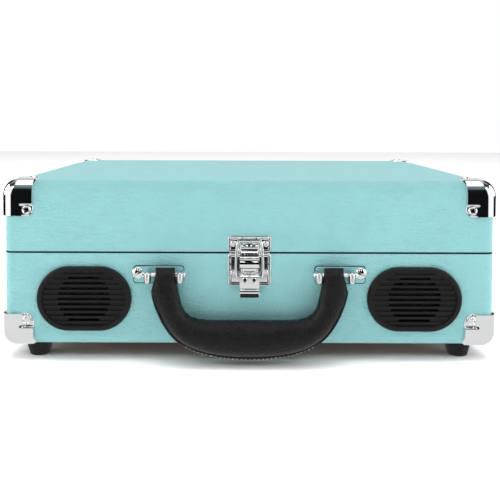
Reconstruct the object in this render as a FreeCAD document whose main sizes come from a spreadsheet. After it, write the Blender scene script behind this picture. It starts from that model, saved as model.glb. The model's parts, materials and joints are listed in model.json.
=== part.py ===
import FreeCAD, Part
import math
import operator
import os

import Sketcher

# Suitcase record player, closed and latched. Millimetres and degrees.
# +X is to the right seen from the front, the front faces -Y, +Z is up.
# The origin is the middle of the whole object's footprint, on the surface that it stands on.

SIZES = {
    # suitcase
    "case_width": 359, "case_depth": 255, "case_top": 132, "foot_height": 11,
    "seam_height": 80, "seam_gap": 0.8, "handle_reach": 20, "hinge_reach": 5.5,
    "upright_round": 6.5, "lid_round": 10, "base_round": 8.6,
    "wrap": 0.8, "wall": 8, "lid_board": 5, "lining": 1,
    "bottom_board": 3, "ledge": 4, "ledge_height": 3.2, "cleat": 14,
    # chrome corner guards and their screws
    "guard": 0.8, "guard_width": 22, "guard_height": 26.5, "guard_round": 6,
    "base_guard_height": 24.2, "base_guard_lip": 8, "guard_screw_inset": 17,
    "lid_screw_height": 110.7, "base_screw_height": 29.6, "guard_screw_head": 3.1,
    "head_height": 1.2, "screw_shank": 1.3, "screw_length": 7,
    # rubber feet
    "foot_side": 21.4, "foot_front": 18, "foot_top_radius": 10.4, "foot_radius": 7.3,
    "foot_screw": 3.2, "foot_recess": 3,
    # speaker grilles and drivers
    "grille_side": 120.5, "grille_height": 46, "grille_straight": 11, "grille_radius": 23.5,
    "grille_proud": 3.5, "grille_rim": 3.8, "grille_sink": 1, "grille_round": 1.8,
    "slot_pitch": 3.83, "slot_gap": 2, "slot_circle": 19, "groove_depth": 0.8, "groove_inset": 0.4,
    "end_groove": 0.8, "grille_plug": 4,
    "cone_radius": 21, "driver_radius": 25, "driver_depth": 20, "magnet_radius": 15,
    # carrying handle
    "handle_pin_height": 65.4, "handle_pin_out": 9, "handle_pin_radius": 1.6, "lug_width": 4,
    "inner_lug": 47.9, "outer_lug": 70.9, "lug_low": 61.4, "lug_high": 69.4, "lug_nose": 4.2,
    "bracket_low": 58, "bracket_high": 71, "bracket_inner": 45.5, "bracket_outer": 86,
    "plate": 0.8, "dome_side": 81.3, "dome_height": 64.9, "dome_radius": 4.6, "dome_rise": 2.4,
    "arm_thick": 12, "grip_thick": 18, "core_thick": 2,
    # latch
    "latch_half": 15.4, "rivet_low": 65.2, "rivet_high": 86.5, "latch_low": 55.6, "keeper_high": 92.2, "latch_plate": 1,
    "latch_pivot_height": 76, "latch_pivot_out": 4, "latch_barrel": 2.2, "latch_pin": 1,
    "lever_half": 7.1, "lever_low": 48.7, "lever_sheet": 1.2, "knuckle_half": 3,
    "eyelet_side": 3.3, "eyelet_height": 61.2, "eyelet_radius": 1.1,
    "bail_height": 62.4, "bail_top": 88.2, "bail_half": 9.5, "bail_wire": 1,
    "hook_half": 6.5, "hook_low": 81.4, "hook_high": 87, "hook_out": 5.2,
    # lid hinges
    "hinge_side": 110, "hinge_width": 32, "hinge_leaf": 1.2, "hinge_leaf_height": 18,
    "hinge_pin_out": 3, "knuckle_radius": 2.5, "hinge_pin": 1.25, "lid_knuckle": 12,
    "leaf_clear": 2.6,
    # clearances
    "running": 0.05, "gap": 0.3, "loose": 0.8,
    # deck, platter and drive
    "deck_top": 74, "deck_thick": 2.5, "spindle_x": -46, "spindle_back": -20,
    "well_radius": 95, "well_floor": 62, "well_wall": 2,
    "platter_radius": 92, "platter_top": 80.5, "platter_web": 3, "platter_rim": 3,
    "rim_low": 70, "ring_radius": 60, "ring_wall": 2, "ring_low": 66, "hub_radius": 8,
    "mat_radius": 89, "mat_thick": 1.5, "spindle_radius": 3, "record_pin": 3.55,
    "record_pin_top": 93, "pin_tip": 3, "bush_radius": 7, "bush_low": 48,
    "motor_distance": 76, "motor_angle": 128, "pulley_radius": 5, "pulley_low": 67,
    "pulley_height": 6, "belt_thick": 1.2, "motor_radius": 14, "motor_low": 36,
    "motor_shaft": 1, "motor_hole": 8,
    # tonearm
    "arm_x": 118, "arm_back": 96, "arm_height": 97, "arm_length": 203, "arm_tube": 4,
    "arm_tail": 16, "arm_base_radius": 17, "arm_base_step": 4, "column_radius": 9,
    "column_top": 86, "yoke_radius": 9, "yoke_web": 3, "prong": 2.5, "arm_pivot": 1.5,
    "shell_width": 18, "shell_length": 34, "shell_thick": 2.5, "shell_turn": 20,
    "cartridge_width": 13, "cartridge_length": 24, "cartridge_height": 7, "stylus_low": 85.5,
    "rest_y_back": -40, "rest_depth": 8, "clip_thick": 2, "clip_reach": 15.5,
    "lift_forward": 28, "lift_bar_left": 90, "lift_bar_right": 125, "lift_post_x": 100,
    "lift_post": 2, "lift_guide": 5, "lever_x": 136, "lever_reach": 20,
    # controls and jacks
    "knob_x": 148, "knob_radius": 11, "knob_height": 12, "knob_shaft": 3,
    "volume_back": -88, "function_back": -50, "led_back": -110, "led_radius": 1.5,
    "pot_radius": 8.5, "pot_height": 10,
    "speed_x": 78, "speed_back": 88, "stop_x": 78, "stop_back": 66,
    "slider_length": 8, "slider_width": 5, "slider_height": 5, "stem": 2.4,
    "slot_travel": 5, "adapter_x": -145, "adapter_back": 95, "adapter_radius": 19,
    "adapter_hole": 3.65, "adapter_thick": 4, "adapter_post": 3.55, "adapter_post_rise": 6,
    "socket_x": 70, "socket_pitch": 22, "socket_back": -100, "socket_radius": 4,
    "socket_bore": 1.8, "socket_depth": 14, "socket_rise": 1.2,
    "panel_x": 95, "panel_height": 42, "panel_half": 36, "panel_half_height": 14,
    "panel_thick": 1.5, "phono_radius": 4.15, "phono_bore": 1.6, "phono_pitch": 22,
    "phono_length": 8, "power_radius": 5, "power_bore": 2.75, "power_pin": 1,
    # main board
    "board_x": 100, "board_back": 40, "board_length": 90, "board_width": 55,
    "board_height": 30, "board_thick": 1.6, "standoff": 3,
}

JOINED = {"+": operator.add, "-": operator.sub, "*": operator.mul, "/": operator.truediv}


class Length:
    """A number together with the sheet formula that gives it."""

    def __init__(self, number, formula):
        self.number = number
        self.formula = formula

    def __add__(self, other):
        return join(self, "+", other)

    def __radd__(self, other):
        return join(other, "+", self)

    def __sub__(self, other):
        return join(self, "-", other)

    def __rsub__(self, other):
        return join(other, "-", self)

    def __mul__(self, other):
        return join(self, "*", other)

    def __rmul__(self, other):
        return join(other, "*", self)

    def __truediv__(self, other):
        return join(self, "/", other)

    def __neg__(self):
        return join(0, "-", self)


def lift(value):
    """Return value as a Length."""
    return value if isinstance(value, Length) else Length(value, f"{value:g}")


def join(left, sign, right):
    """Combine two values into one Length whose formula keeps both."""
    a = lift(left)
    b = lift(right)
    return Length(JOINED[sign](a.number, b.number), f"({a.formula} {sign} {b.formula})")


def chord(radius, offset):
    """Half the width of a circle at a distance from its middle."""
    square = radius * radius - offset * offset
    return Length(math.sqrt(square.number), f"sqrt({square.formula})")


class Sheet:
    """The spreadsheet, whose cells are read as Lengths by their aliases."""

    def __init__(self, document):
        self.cells = document.addObject("Spreadsheet::Sheet", "Sizes")
        for row, (alias, value) in enumerate(SIZES.items(), start=1):
            self.cells.set(f"A{row}", alias)
            self.cells.set(f"B{row}", str(value))
            self.cells.setAlias(f"B{row}", alias)
        document.recompute()

    def __getattr__(self, alias):
        return Length(float(self.cells.get(alias)), f"Sizes.{alias}")


doc = FreeCAD.newDocument("suitcase_record_player")
s = Sheet(doc)
nodes = []

# Faces of the suitcase: the handle and the hinges reach equally far from the origin.
FRONT = (s.handle_reach - s.hinge_reach - s.case_depth) / 2
BACK = FRONT + s.case_depth
MIDDLE = (s.handle_reach - s.hinge_reach) / 2
SIDE = s.case_width / 2
BASE_TOP = s.seam_height - s.seam_gap / 2
LID_LOW = s.seam_height + s.seam_gap / 2
INNER_SIDE = SIDE - s.wall
INNER_FRONT = FRONT + s.wall
INNER_BACK = BACK - s.wall
SPINDLE_Y = MIDDLE + s.spindle_back
DECK_LOW = s.deck_top - s.deck_thick
ARM_Y = MIDDLE + s.arm_back


# ---------------------------------------------------------------- helpers

def bind(thing, place, value):
    """Bind one property, or one part of it, to a Length."""
    thing.setExpression(place, lift(value).formula)


def node(thing, label):
    """Name a finished sub-part; its label is its file's name."""
    thing.Label = label
    nodes.append(thing)
    return thing


def set_base(thing, x, y, z):
    bind(thing, "Placement.Base.x", x)
    bind(thing, "Placement.Base.y", y)
    bind(thing, "Placement.Base.z", z)


def block(x, y, z):
    """A box between (low, high) pairs."""
    thing = doc.addObject("Part::Box", "block")
    for side, (low, high) in zip(("Length", "Width", "Height"), (x, y, z)):
        bind(thing, side, high - low)
    set_base(thing, x[0], y[0], z[0])
    return thing


AIM = {
    "+Z": FreeCAD.Rotation(),
    "-Y": FreeCAD.Rotation(FreeCAD.Vector(1, 0, 0), 90),
    "+Y": FreeCAD.Rotation(FreeCAD.Vector(1, 0, 0), -90),
    "+X": FreeCAD.Rotation(FreeCAD.Vector(0, 1, 0), 90),
    "-X": FreeCAD.Rotation(FreeCAD.Vector(0, 1, 0), -90),
    "-Z": FreeCAD.Rotation(FreeCAD.Vector(1, 0, 0), 180),
}


def rod(x, y, z, radius, length, aim="+Z"):
    """A cylinder from a point along an axis."""
    thing = doc.addObject("Part::Cylinder", "rod")
    thing.Placement.Rotation = AIM[aim]
    bind(thing, "Radius", radius)
    bind(thing, "Height", length)
    set_base(thing, x, y, z)
    return thing


def taper(x, y, z, radius_low, radius_high, length, aim="+Z"):
    """A cone's frustum from a point along an axis."""
    thing = doc.addObject("Part::Cone", "taper")
    thing.Placement.Rotation = AIM[aim]
    bind(thing, "Radius1", radius_low)
    bind(thing, "Radius2", radius_high)
    bind(thing, "Height", length)
    set_base(thing, x, y, z)
    return thing


def fuse(*things):
    if len(things) == 1:
        return things[0]
    thing = doc.addObject("Part::MultiFuse", "fuse")
    thing.Shapes = list(things)
    thing.Refine = True
    return thing


def cut(base, *tools):
    thing = doc.addObject("Part::Cut", "cut")
    thing.Base = base
    thing.Tool = fuse(*tools)
    return thing


def common(first, second):
    thing = doc.addObject("Part::MultiCommon", "common")
    thing.Shapes = [first, second]
    return thing


def group(things):
    """Separate solids kept together in one sub-part."""
    thing = doc.addObject("Part::Compound", "group")
    thing.Links = list(things)
    return thing


def mirror(source, normal, base_y=None):
    thing = doc.addObject("Part::Mirroring", "mirror")
    thing.Source = source
    thing.Normal = FreeCAD.Vector(*normal)
    if base_y is not None:
        bind(thing, "Base.y", base_y)
    return thing


def left_and_right(source):
    return [source, mirror(source, (1, 0, 0))]


def four_corners(source):
    """The source and its copies at the other three corners of the suitcase."""
    front = left_and_right(source)
    return front + [mirror(piece, (0, 1, 0), MIDDLE) for piece in front]


def new_body(name):
    return doc.addObject("PartDesign::Body", name)


def sketch_on(body, role, lift_by):
    """A sketch on one of the body's own origin planes, raised along the plane's normal."""
    sketch = body.newObject("Sketcher::SketchObject", "outline")
    planes = [plane for plane in body.Origin.OriginFeatures if plane.Role == role]
    sketch.AttachmentSupport = [(planes[0], "")]
    sketch.MapMode = "FlatFace"
    bind(sketch, "AttachmentOffset.Base.z", lift_by)
    return sketch


def pin_down(sketch, geometry, point, x, y):
    """Fix one point of a sketch at its distances from the sketch's origin."""
    for kind, value in (("DistanceX", lift(x)), ("DistanceY", lift(y))):
        index = sketch.addConstraint(
            Sketcher.Constraint(kind, -1, 1, geometry, point, value.number))
        sketch.setExpression(f"Constraints[{index}]", value.formula)


def draw_polygon(sketch, points):
    corners = [FreeCAD.Vector(lift(x).number, lift(y).number, 0) for x, y in points]
    first = sketch.GeometryCount
    count = len(corners)
    for index in range(count):
        sketch.addGeometry(Part.LineSegment(corners[index], corners[(index + 1) % count]), False)
    for index in range(count):
        following = first + (index + 1) % count
        sketch.addConstraint(Sketcher.Constraint("Coincident", first + index, 2, following, 1))
    for index, (x, y) in enumerate(points):
        pin_down(sketch, first + index, 1, x, y)


def draw_rectangle(sketch, x, y):
    draw_polygon(sketch, [(x[0], y[0]), (x[1], y[0]), (x[1], y[1]), (x[0], y[1])])


def draw_circle(sketch, x, y, radius):
    centre = FreeCAD.Vector(lift(x).number, lift(y).number, 0)
    size = lift(radius)
    circle = sketch.addGeometry(
        Part.Circle(centre, FreeCAD.Vector(0, 0, 1), size.number), False)
    pin_down(sketch, circle, 3, x, y)
    index = sketch.addConstraint(Sketcher.Constraint("Radius", circle, size.number))
    sketch.setExpression(f"Constraints[{index}]", size.formula)


def draw_stadium(sketch, x, y, straight, radius):
    """Two straight edges of half-length straight, joined by two half circles."""
    left = x - straight
    right = x + straight
    up = FreeCAD.Vector(0, 0, 1)
    arcs = []
    for middle, turn in ((right, -math.pi / 2), (left, math.pi / 2)):
        centre = FreeCAD.Vector(middle.number, y.number, 0)
        circle = Part.Circle(centre, up, radius.number)
        arcs.append(sketch.addGeometry(
            Part.ArcOfCircle(circle, turn, turn + math.pi), False))
    top = [FreeCAD.Vector(m.number, y.number + radius.number, 0) for m in (right, left)]
    low = [FreeCAD.Vector(m.number, y.number - radius.number, 0) for m in (left, right)]
    top_line = sketch.addGeometry(Part.LineSegment(*top), False)
    low_line = sketch.addGeometry(Part.LineSegment(*low), False)
    for first, second in ((arcs[0], top_line), (top_line, arcs[1]),
                          (arcs[1], low_line), (low_line, arcs[0])):
        sketch.addConstraint(Sketcher.Constraint("Coincident", first, 2, second, 1))
    pin_down(sketch, top_line, 1, right, y + radius)
    pin_down(sketch, top_line, 2, left, y + radius)
    pin_down(sketch, low_line, 1, left, y - radius)
    pin_down(sketch, low_line, 2, right, y - radius)
    for arc, middle in zip(arcs, (right, left)):
        index = sketch.addConstraint(
            Sketcher.Constraint("DistanceX", -1, 1, arc, 3, middle.number))
        sketch.setExpression(f"Constraints[{index}]", middle.formula)


def pad(body, sketch, length):
    thing = body.newObject("PartDesign::Pad", "pad")
    thing.Profile = sketch
    bind(thing, "Length", length)
    return thing


def pocket(body, sketch, length, reversed_way=False):
    thing = body.newObject("PartDesign::Pocket", "pocket")
    thing.Profile = sketch
    thing.Reversed = reversed_way
    bind(thing, "Length", length)
    return thing


def round_edges(body, feature, radius, chosen):
    """Fillet the feature's edges that the test picks."""
    doc.recompute()
    names = [f"Edge{index}" for index, edge in enumerate(feature.Shape.Edges, start=1)
             if chosen(edge)]
    thing = body.newObject("PartDesign::Fillet", "rounding")
    thing.Base = (feature, names)
    bind(thing, "Radius", radius)
    return thing


def along(edge, axis):
    """Whether an edge is a straight line along an axis (0, 1 or 2)."""
    if not isinstance(edge.Curve, Part.Line):
        return False
    return abs(abs(edge.Curve.Direction[axis]) - 1) < 1e-6


def at_level(edge, axis, level):
    """Whether all of an edge lies in the plane where the axis has the level."""
    return all(abs(vertex.Point[axis] - level) < 1e-4 for vertex in edge.Vertexes)


def turned(name, x, y, outline, aim="+Z"):
    """A PartDesign body turned about its own axis; outline holds (radius, height) pairs."""
    body = new_body(name)
    sketch = sketch_on(body, "XZ_Plane", 0)
    draw_polygon(sketch, outline)
    turn = body.newObject("PartDesign::Revolution", "turn")
    turn.Profile = sketch
    turn.ReferenceAxis = (sketch, ["V_Axis"])
    turn.Angle = 360
    body.Placement.Rotation = AIM[aim]
    bind(body, "Placement.Base.x", x)
    bind(body, "Placement.Base.y", y)
    return body


# ---------------------------------------------------------------- suitcase

def case_block(name, inset, z_low, z_high, rounded_level, rounding):
    """The suitcase's outer block, inset from its faces, with its uprights and one end rounded."""
    body = new_body(name)
    sketch = sketch_on(body, "XY_Plane", z_low)
    draw_rectangle(sketch, (-SIDE + inset, SIDE - inset), (FRONT + inset, BACK - inset))
    solid = pad(body, sketch, z_high - z_low)
    uprights = round_edges(body, solid, s.upright_round - inset, lambda edge: along(edge, 2))
    round_edges(body, uprights, rounding - inset,
                lambda edge: at_level(edge, 2, lift(rounded_level).number))
    return body


def lid_block(name, inset):
    low = LID_LOW + inset
    high = s.case_top - inset
    return case_block(name, inset, low, high, high, s.lid_round)


def base_block(name, inset):
    low = s.foot_height + inset
    high = BASE_TOP - inset
    return case_block(name, inset, low, high, low, s.base_round)


def inside(inset, z_low, z_high):
    """The space between the walls, made smaller by inset on each side."""
    return block((-INNER_SIDE + inset, INNER_SIDE - inset),
                 (INNER_FRONT + inset, INNER_BACK - inset), (z_low, z_high))


def grille_prism(side, shrink, y_low, y_high):
    """A stadium-shaped prism at one speaker, smaller than the grille by shrink all round."""
    body = new_body("grille_prism")
    sketch = sketch_on(body, "XZ_Plane", -y_high)
    draw_stadium(sketch, side * s.grille_side, s.grille_height, lift(s.grille_straight),
                 s.grille_radius - shrink)
    pad(body, sketch, y_high - y_low)
    return body


def dome_screw(x, y, z, aim, head_radius, head_height, shank_length):
    """A domed head on a plain shank; the point is where the head meets the surface."""
    head = taper(x, y, z, head_radius, head_radius * 0.62, head_height, aim)
    back = {"+Z": "-Z", "-Z": "+Z", "-Y": "+Y", "+Y": "-Y", "+X": "-X", "-X": "+X"}[aim]
    shank = rod(x, y, z, s.screw_shank, shank_length, back)
    return fuse(head, shank)


def guard_screws(height, with_top):
    """The screws of one front right corner guard, copied to all four corners."""
    across = SIDE - s.guard_screw_inset
    deep = FRONT + s.guard_screw_inset
    size = (s.guard_screw_head, s.head_height, s.screw_length)
    screws = [dome_screw(across, FRONT - s.guard, height, "-Y", *size),
              dome_screw(SIDE + s.guard, deep, height, "+X", *size)]
    if with_top:
        short = (s.guard_screw_head, s.head_height, s.lid_board)
        screws.append(dome_screw(across, deep, s.case_top + s.guard, "+Z", *short))
    return [copy for screw in screws for copy in four_corners(screw)]


def corner_zone(z_low, z_high, rounded_level):
    """The box at one corner that a guard covers, with its inner corners rounded."""
    body = new_body("corner_zone")
    sketch = sketch_on(body, "XY_Plane", z_low)
    draw_rectangle(sketch, (SIDE - s.guard_width, SIDE + s.guard * 2),
                   (FRONT - s.guard * 2, FRONT + s.guard_width))
    solid = pad(body, sketch, z_high - z_low)
    corner = FreeCAD.Vector((SIDE - s.guard_width).number, (FRONT + s.guard_width).number,
                            lift(rounded_level).number)
    round_edges(body, solid, s.guard_round,
                lambda edge: any((v.Point - corner).Length < 1e-4 for v in edge.Vertexes))
    return body


def make_lid():
    screws = guard_screws(s.lid_screw_height, True)
    board = lid_block("lid_board_block", s.wrap)
    ceiling = s.case_top - s.lid_board
    hinge_screws = rear_screws(s.seam_height + s.hinge_leaf_height - 4)
    keeper_rivets = front_rivets(s.rivet_high)
    drilled = screws + hinge_screws + keeper_rivets
    node(group(drilled), "lid_screws")
    node(cut(board, inside(0, LID_LOW, ceiling), *drilled), "lid_box")
    skin = cut(lid_block("lid_skin", 0), lid_block("lid_board_core", s.wrap),
               inside(0, LID_LOW, ceiling), *drilled)
    node(skin, "lid_wrap")
    node(cut(inside(0, LID_LOW, ceiling), inside(s.lining, LID_LOW, ceiling - s.lining),
             *drilled), "lid_lining")
    shell = cut(lid_block("lid_guard_skin", -s.guard), lid_block("lid_guard_core", 0))
    zone = corner_zone(s.case_top - s.guard_height, s.case_top + s.guard * 2,
                       s.case_top - s.guard_height)
    guards = [cut(guard, *drilled) for guard in four_corners(common(shell, zone))]
    node(group(guards), "lid_corners")


def rear_screws(height):
    """The flat screws of both hinges at one height."""
    spread = s.hinge_width / 2 - 5
    size = (2.6, 0.8, s.screw_length)
    right = [dome_screw(s.hinge_side + side * spread, BACK + s.hinge_leaf, height, "+Y", *size)
             for side in (-1, 1)]
    return [copy for screw in right for copy in left_and_right(screw)]


def front_rivets(height):
    """The two rivets of one latch plate."""
    size = (2.2, 1, s.screw_length)
    return left_and_right(dome_screw(s.latch_half - 3.6, FRONT - s.latch_plate, height, "-Y", *size))


def make_base():
    screws = guard_screws(s.base_screw_height, False)
    node(group(screws), "base_corner_screws")
    dome = dome_screw(s.dome_side, FRONT - s.plate, s.dome_height, "-Y", s.dome_radius,
                      s.dome_rise, s.screw_length)
    domes = left_and_right(dome)
    hinge_screws = rear_screws(s.seam_height - s.hinge_leaf_height + 4)
    rivets = front_rivets(s.rivet_low)
    hardware = domes + hinge_screws + rivets
    node(group(hardware), "base_hardware_screws")
    openings = [grille_prism(side, s.grille_rim, FRONT - 1, INNER_FRONT + 1) for side in (-1, 1)]
    window = block((s.panel_x - s.panel_half, s.panel_x + s.panel_half), (INNER_BACK - 1, BACK + 1),
                   (s.panel_height - s.panel_half_height, s.panel_height + s.panel_half_height))
    drilled = screws + hardware + openings + [window]
    floor = s.foot_height + s.bottom_board
    walls = cut(base_block("base_board_block", s.wrap), inside(0, s.foot_height, floor),
                inside(s.ledge, floor, floor + s.ledge_height),
                inside(0, floor + s.ledge_height, BASE_TOP))
    cleat = block((INNER_SIDE - s.cleat, INNER_SIDE), (INNER_FRONT, INNER_FRONT + s.cleat),
                  (floor, DECK_LOW))
    deck_screws = [chassis_screw(*place) for place in chassis_places()]
    node(group(deck_screws), "chassis_screws")
    board_screws = bottom_screws()
    node(group(board_screws), "underside_screws")
    node(cut(fuse(walls, *four_corners(cleat)), *drilled, *deck_screws, *board_screws), "base_box")
    skin = cut(base_block("base_skin", 0), base_block("base_board_core", s.wrap),
               inside(0, s.foot_height, BASE_TOP), *drilled)
    node(skin, "base_wrap")
    board = inside(s.gap, s.foot_height, floor)
    node(cut(board, *board_screws), "bottom_board")
    shell = cut(base_block("base_guard_skin", -s.guard), base_block("base_guard_core", 0))
    lip_keepout = block((SIDE - s.guard_width * 2, SIDE - s.base_guard_lip),
                        (FRONT + s.base_guard_lip, FRONT + s.guard_width * 2),
                        (s.foot_height - s.guard * 2, s.foot_height + s.guard))
    top = s.foot_height + s.base_guard_height
    zone = corner_zone(s.foot_height - s.guard * 2, top, top)
    corner = cut(common(shell, zone), lip_keepout)
    node(group([cut(guard, *drilled) for guard in four_corners(corner)]), "base_corners")


def foot_places():
    across = SIDE - s.foot_side
    return [(side * across, y) for side in (-1, 1)
            for y in (FRONT + s.foot_front, BACK - s.foot_front)]


def bottom_screws():
    """One screw up through each foot, and four more at the edges of the bottom board."""
    floor = s.foot_height + s.bottom_board
    edge = INNER_SIDE - s.ledge / 2
    places = [(0, INNER_FRONT + s.ledge / 2), (0, INNER_BACK - s.ledge / 2),
              (edge, MIDDLE), (-edge, MIDDLE)]
    screws = [dome_screw(x, y, s.foot_height, "-Z", 1.8, 0.6, s.bottom_board + s.ledge_height - 1)
              for x, y in places]
    for x, y in foot_places():
        head = rod(x, y, s.foot_recess, s.foot_screw, 2)
        shank = rod(x, y, s.foot_recess + 2, s.screw_shank, floor + 8 - s.foot_recess)
        screws.append(fuse(head, shank))
    return screws


def make_feet():
    feet = []
    for x, y in foot_places():
        solid = taper(x, y, 0, s.foot_radius, s.foot_top_radius, s.foot_height)
        recess = rod(x, y, 0, s.foot_screw, s.foot_recess + 2)
        bore = rod(x, y, 0, s.screw_shank, s.foot_height + 1)
        feet.append(cut(solid, recess, bore))
    node(group(feet), "rubber_feet")


def make_hinges():
    pin_y = BACK + s.hinge_pin_out
    lid_half = s.lid_knuckle / 2
    half = s.hinge_width / 2
    screws_low = rear_screws(s.seam_height - s.hinge_leaf_height + 4)
    screws_high = rear_screws(s.seam_height + s.hinge_leaf_height - 4)
    leaf_y = (BACK, BACK + s.hinge_leaf)
    base_leaves = []
    lid_leaves = []
    pins = []
    for side in (-1, 1):
        middle = side * s.hinge_side
        plate = block((middle - half, middle + half), leaf_y,
                      (s.seam_height - s.hinge_leaf_height, s.seam_height - s.leaf_clear))
        parts = [plate]
        for end in (-1, 1):
            inner = middle + end * (lid_half + s.gap)
            outer = middle + end * half
            low, high = (inner, outer) if end > 0 else (outer, inner)
            parts.append(rod(low, pin_y, s.seam_height, s.knuckle_radius, high - low, "+X"))
            parts.append(block((low, high), leaf_y, (s.seam_height - s.leaf_clear - 1, s.seam_height)))
        pin = rod(middle - half - 0.8, pin_y, s.seam_height, s.hinge_pin, s.hinge_width + 1.6, "+X")
        pins.append(pin)
        base_leaves.append(cut(fuse(*parts), pin, *screws_low))
        knuckle = rod(middle - lid_half, pin_y, s.seam_height, s.knuckle_radius, s.lid_knuckle, "+X")
        web = block((middle - lid_half, middle + lid_half), leaf_y,
                    (s.seam_height, s.seam_height + s.leaf_clear + 1))
        upper = block((middle - half, middle + half), leaf_y,
                      (s.seam_height + s.leaf_clear, s.seam_height + s.hinge_leaf_height))
        bore = rod(middle - half, pin_y, s.seam_height, s.hinge_pin + s.running, s.hinge_width, "+X")
        lid_leaves.append(cut(fuse(knuckle, web, upper), bore, *screws_high))
    node(group(base_leaves), "hinge_base_leaves")
    node(group(lid_leaves), "hinge_lid_leaves")
    node(group(pins), "hinge_pins")


# ---------------------------------------------------------------- front fittings

def make_grille(side, label):
    """A stadium-shaped cover with a sunk, grooved face, whose grooves are open within a circle."""
    x = side * s.grille_side
    body = new_body(label)
    outline = sketch_on(body, "XZ_Plane", -FRONT)
    draw_stadium(outline, x, s.grille_height, s.grille_straight, s.grille_radius)
    solid = pad(body, outline, s.grille_proud)
    face = FRONT - s.grille_proud
    round_edges(body, solid, s.grille_round, lambda edge: at_level(edge, 1, face.number))
    sunk_radius = s.grille_radius - s.grille_rim
    sunk = sketch_on(body, "XZ_Plane", -face)
    draw_stadium(sunk, x, s.grille_height, s.grille_straight, sunk_radius)
    pocket(body, sunk, s.grille_sink)
    plug = sketch_on(body, "XZ_Plane", -FRONT)
    plug_radius = sunk_radius - s.gap
    draw_stadium(plug, x, s.grille_height, s.grille_straight, plug_radius)
    draw_stadium(plug, x, s.grille_height, s.grille_straight, plug_radius - 1.5)
    collar = pad(body, plug, s.grille_plug)
    collar.Reversed = True

    open_rows = range(-4, 5)
    grooves = sketch_on(body, "XZ_Plane", -(face + s.grille_sink))
    slots = sketch_on(body, "XZ_Plane", -face)
    for row in open_rows:
        level = s.grille_height + s.slot_pitch * row
        height = (level - s.slot_gap / 2, level + s.slot_gap / 2)
        edge = s.slot_pitch * abs(row) + s.slot_gap / 2
        half = s.grille_straight + chord(sunk_radius - s.groove_inset, edge)
        draw_rectangle(grooves, (x - half, x + half), height)
        half = chord(s.slot_circle, s.slot_pitch * row)
        draw_rectangle(slots, (x - half, x + half), height)
    near = s.slot_pitch * 5 - s.slot_gap / 2
    far = near + s.end_groove
    half = s.grille_straight + chord(sunk_radius - s.groove_inset, far)
    draw_rectangle(grooves, (x - half, x + half), (s.grille_height + near, s.grille_height + far))
    draw_rectangle(grooves, (x - half, x + half), (s.grille_height - far, s.grille_height - near))
    pocket(body, grooves, s.groove_depth)
    pocket(body, slots, s.grille_proud + 1)
    node(body, label)


def make_speaker(side, label):
    """A round driver behind the front wall: flange, conical frame and magnet. Returns its cone."""
    x = side * s.grille_side
    y = INNER_FRONT
    z = s.grille_height
    flange = rod(x, y, z, s.driver_radius, 2, "+Y")
    frame = taper(x, y + 2, z, s.cone_radius + 2, s.magnet_radius - 2, s.driver_depth - 10, "+Y")
    magnet = rod(x, y + s.driver_depth - 8, z, s.magnet_radius, 10, "+Y")
    throat = rod(x, y, z, s.cone_radius, 2, "+Y")
    hollow = taper(x, y + 2, z, s.cone_radius, s.magnet_radius - 4, s.driver_depth - 10, "+Y")
    node(cut(fuse(flange, frame, magnet), throat, hollow), label)
    skin = taper(x, y + 2, z, s.cone_radius, s.magnet_radius - 4, s.driver_depth - 10, "+Y")
    front = taper(x, y + 1.4, z, s.cone_radius, s.magnet_radius - 4, s.driver_depth - 10, "+Y")
    cap = taper(x, y + 8, z, 8, 7, 4, "+Y")
    return fuse(cut(skin, front), common(cap, skin))


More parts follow.
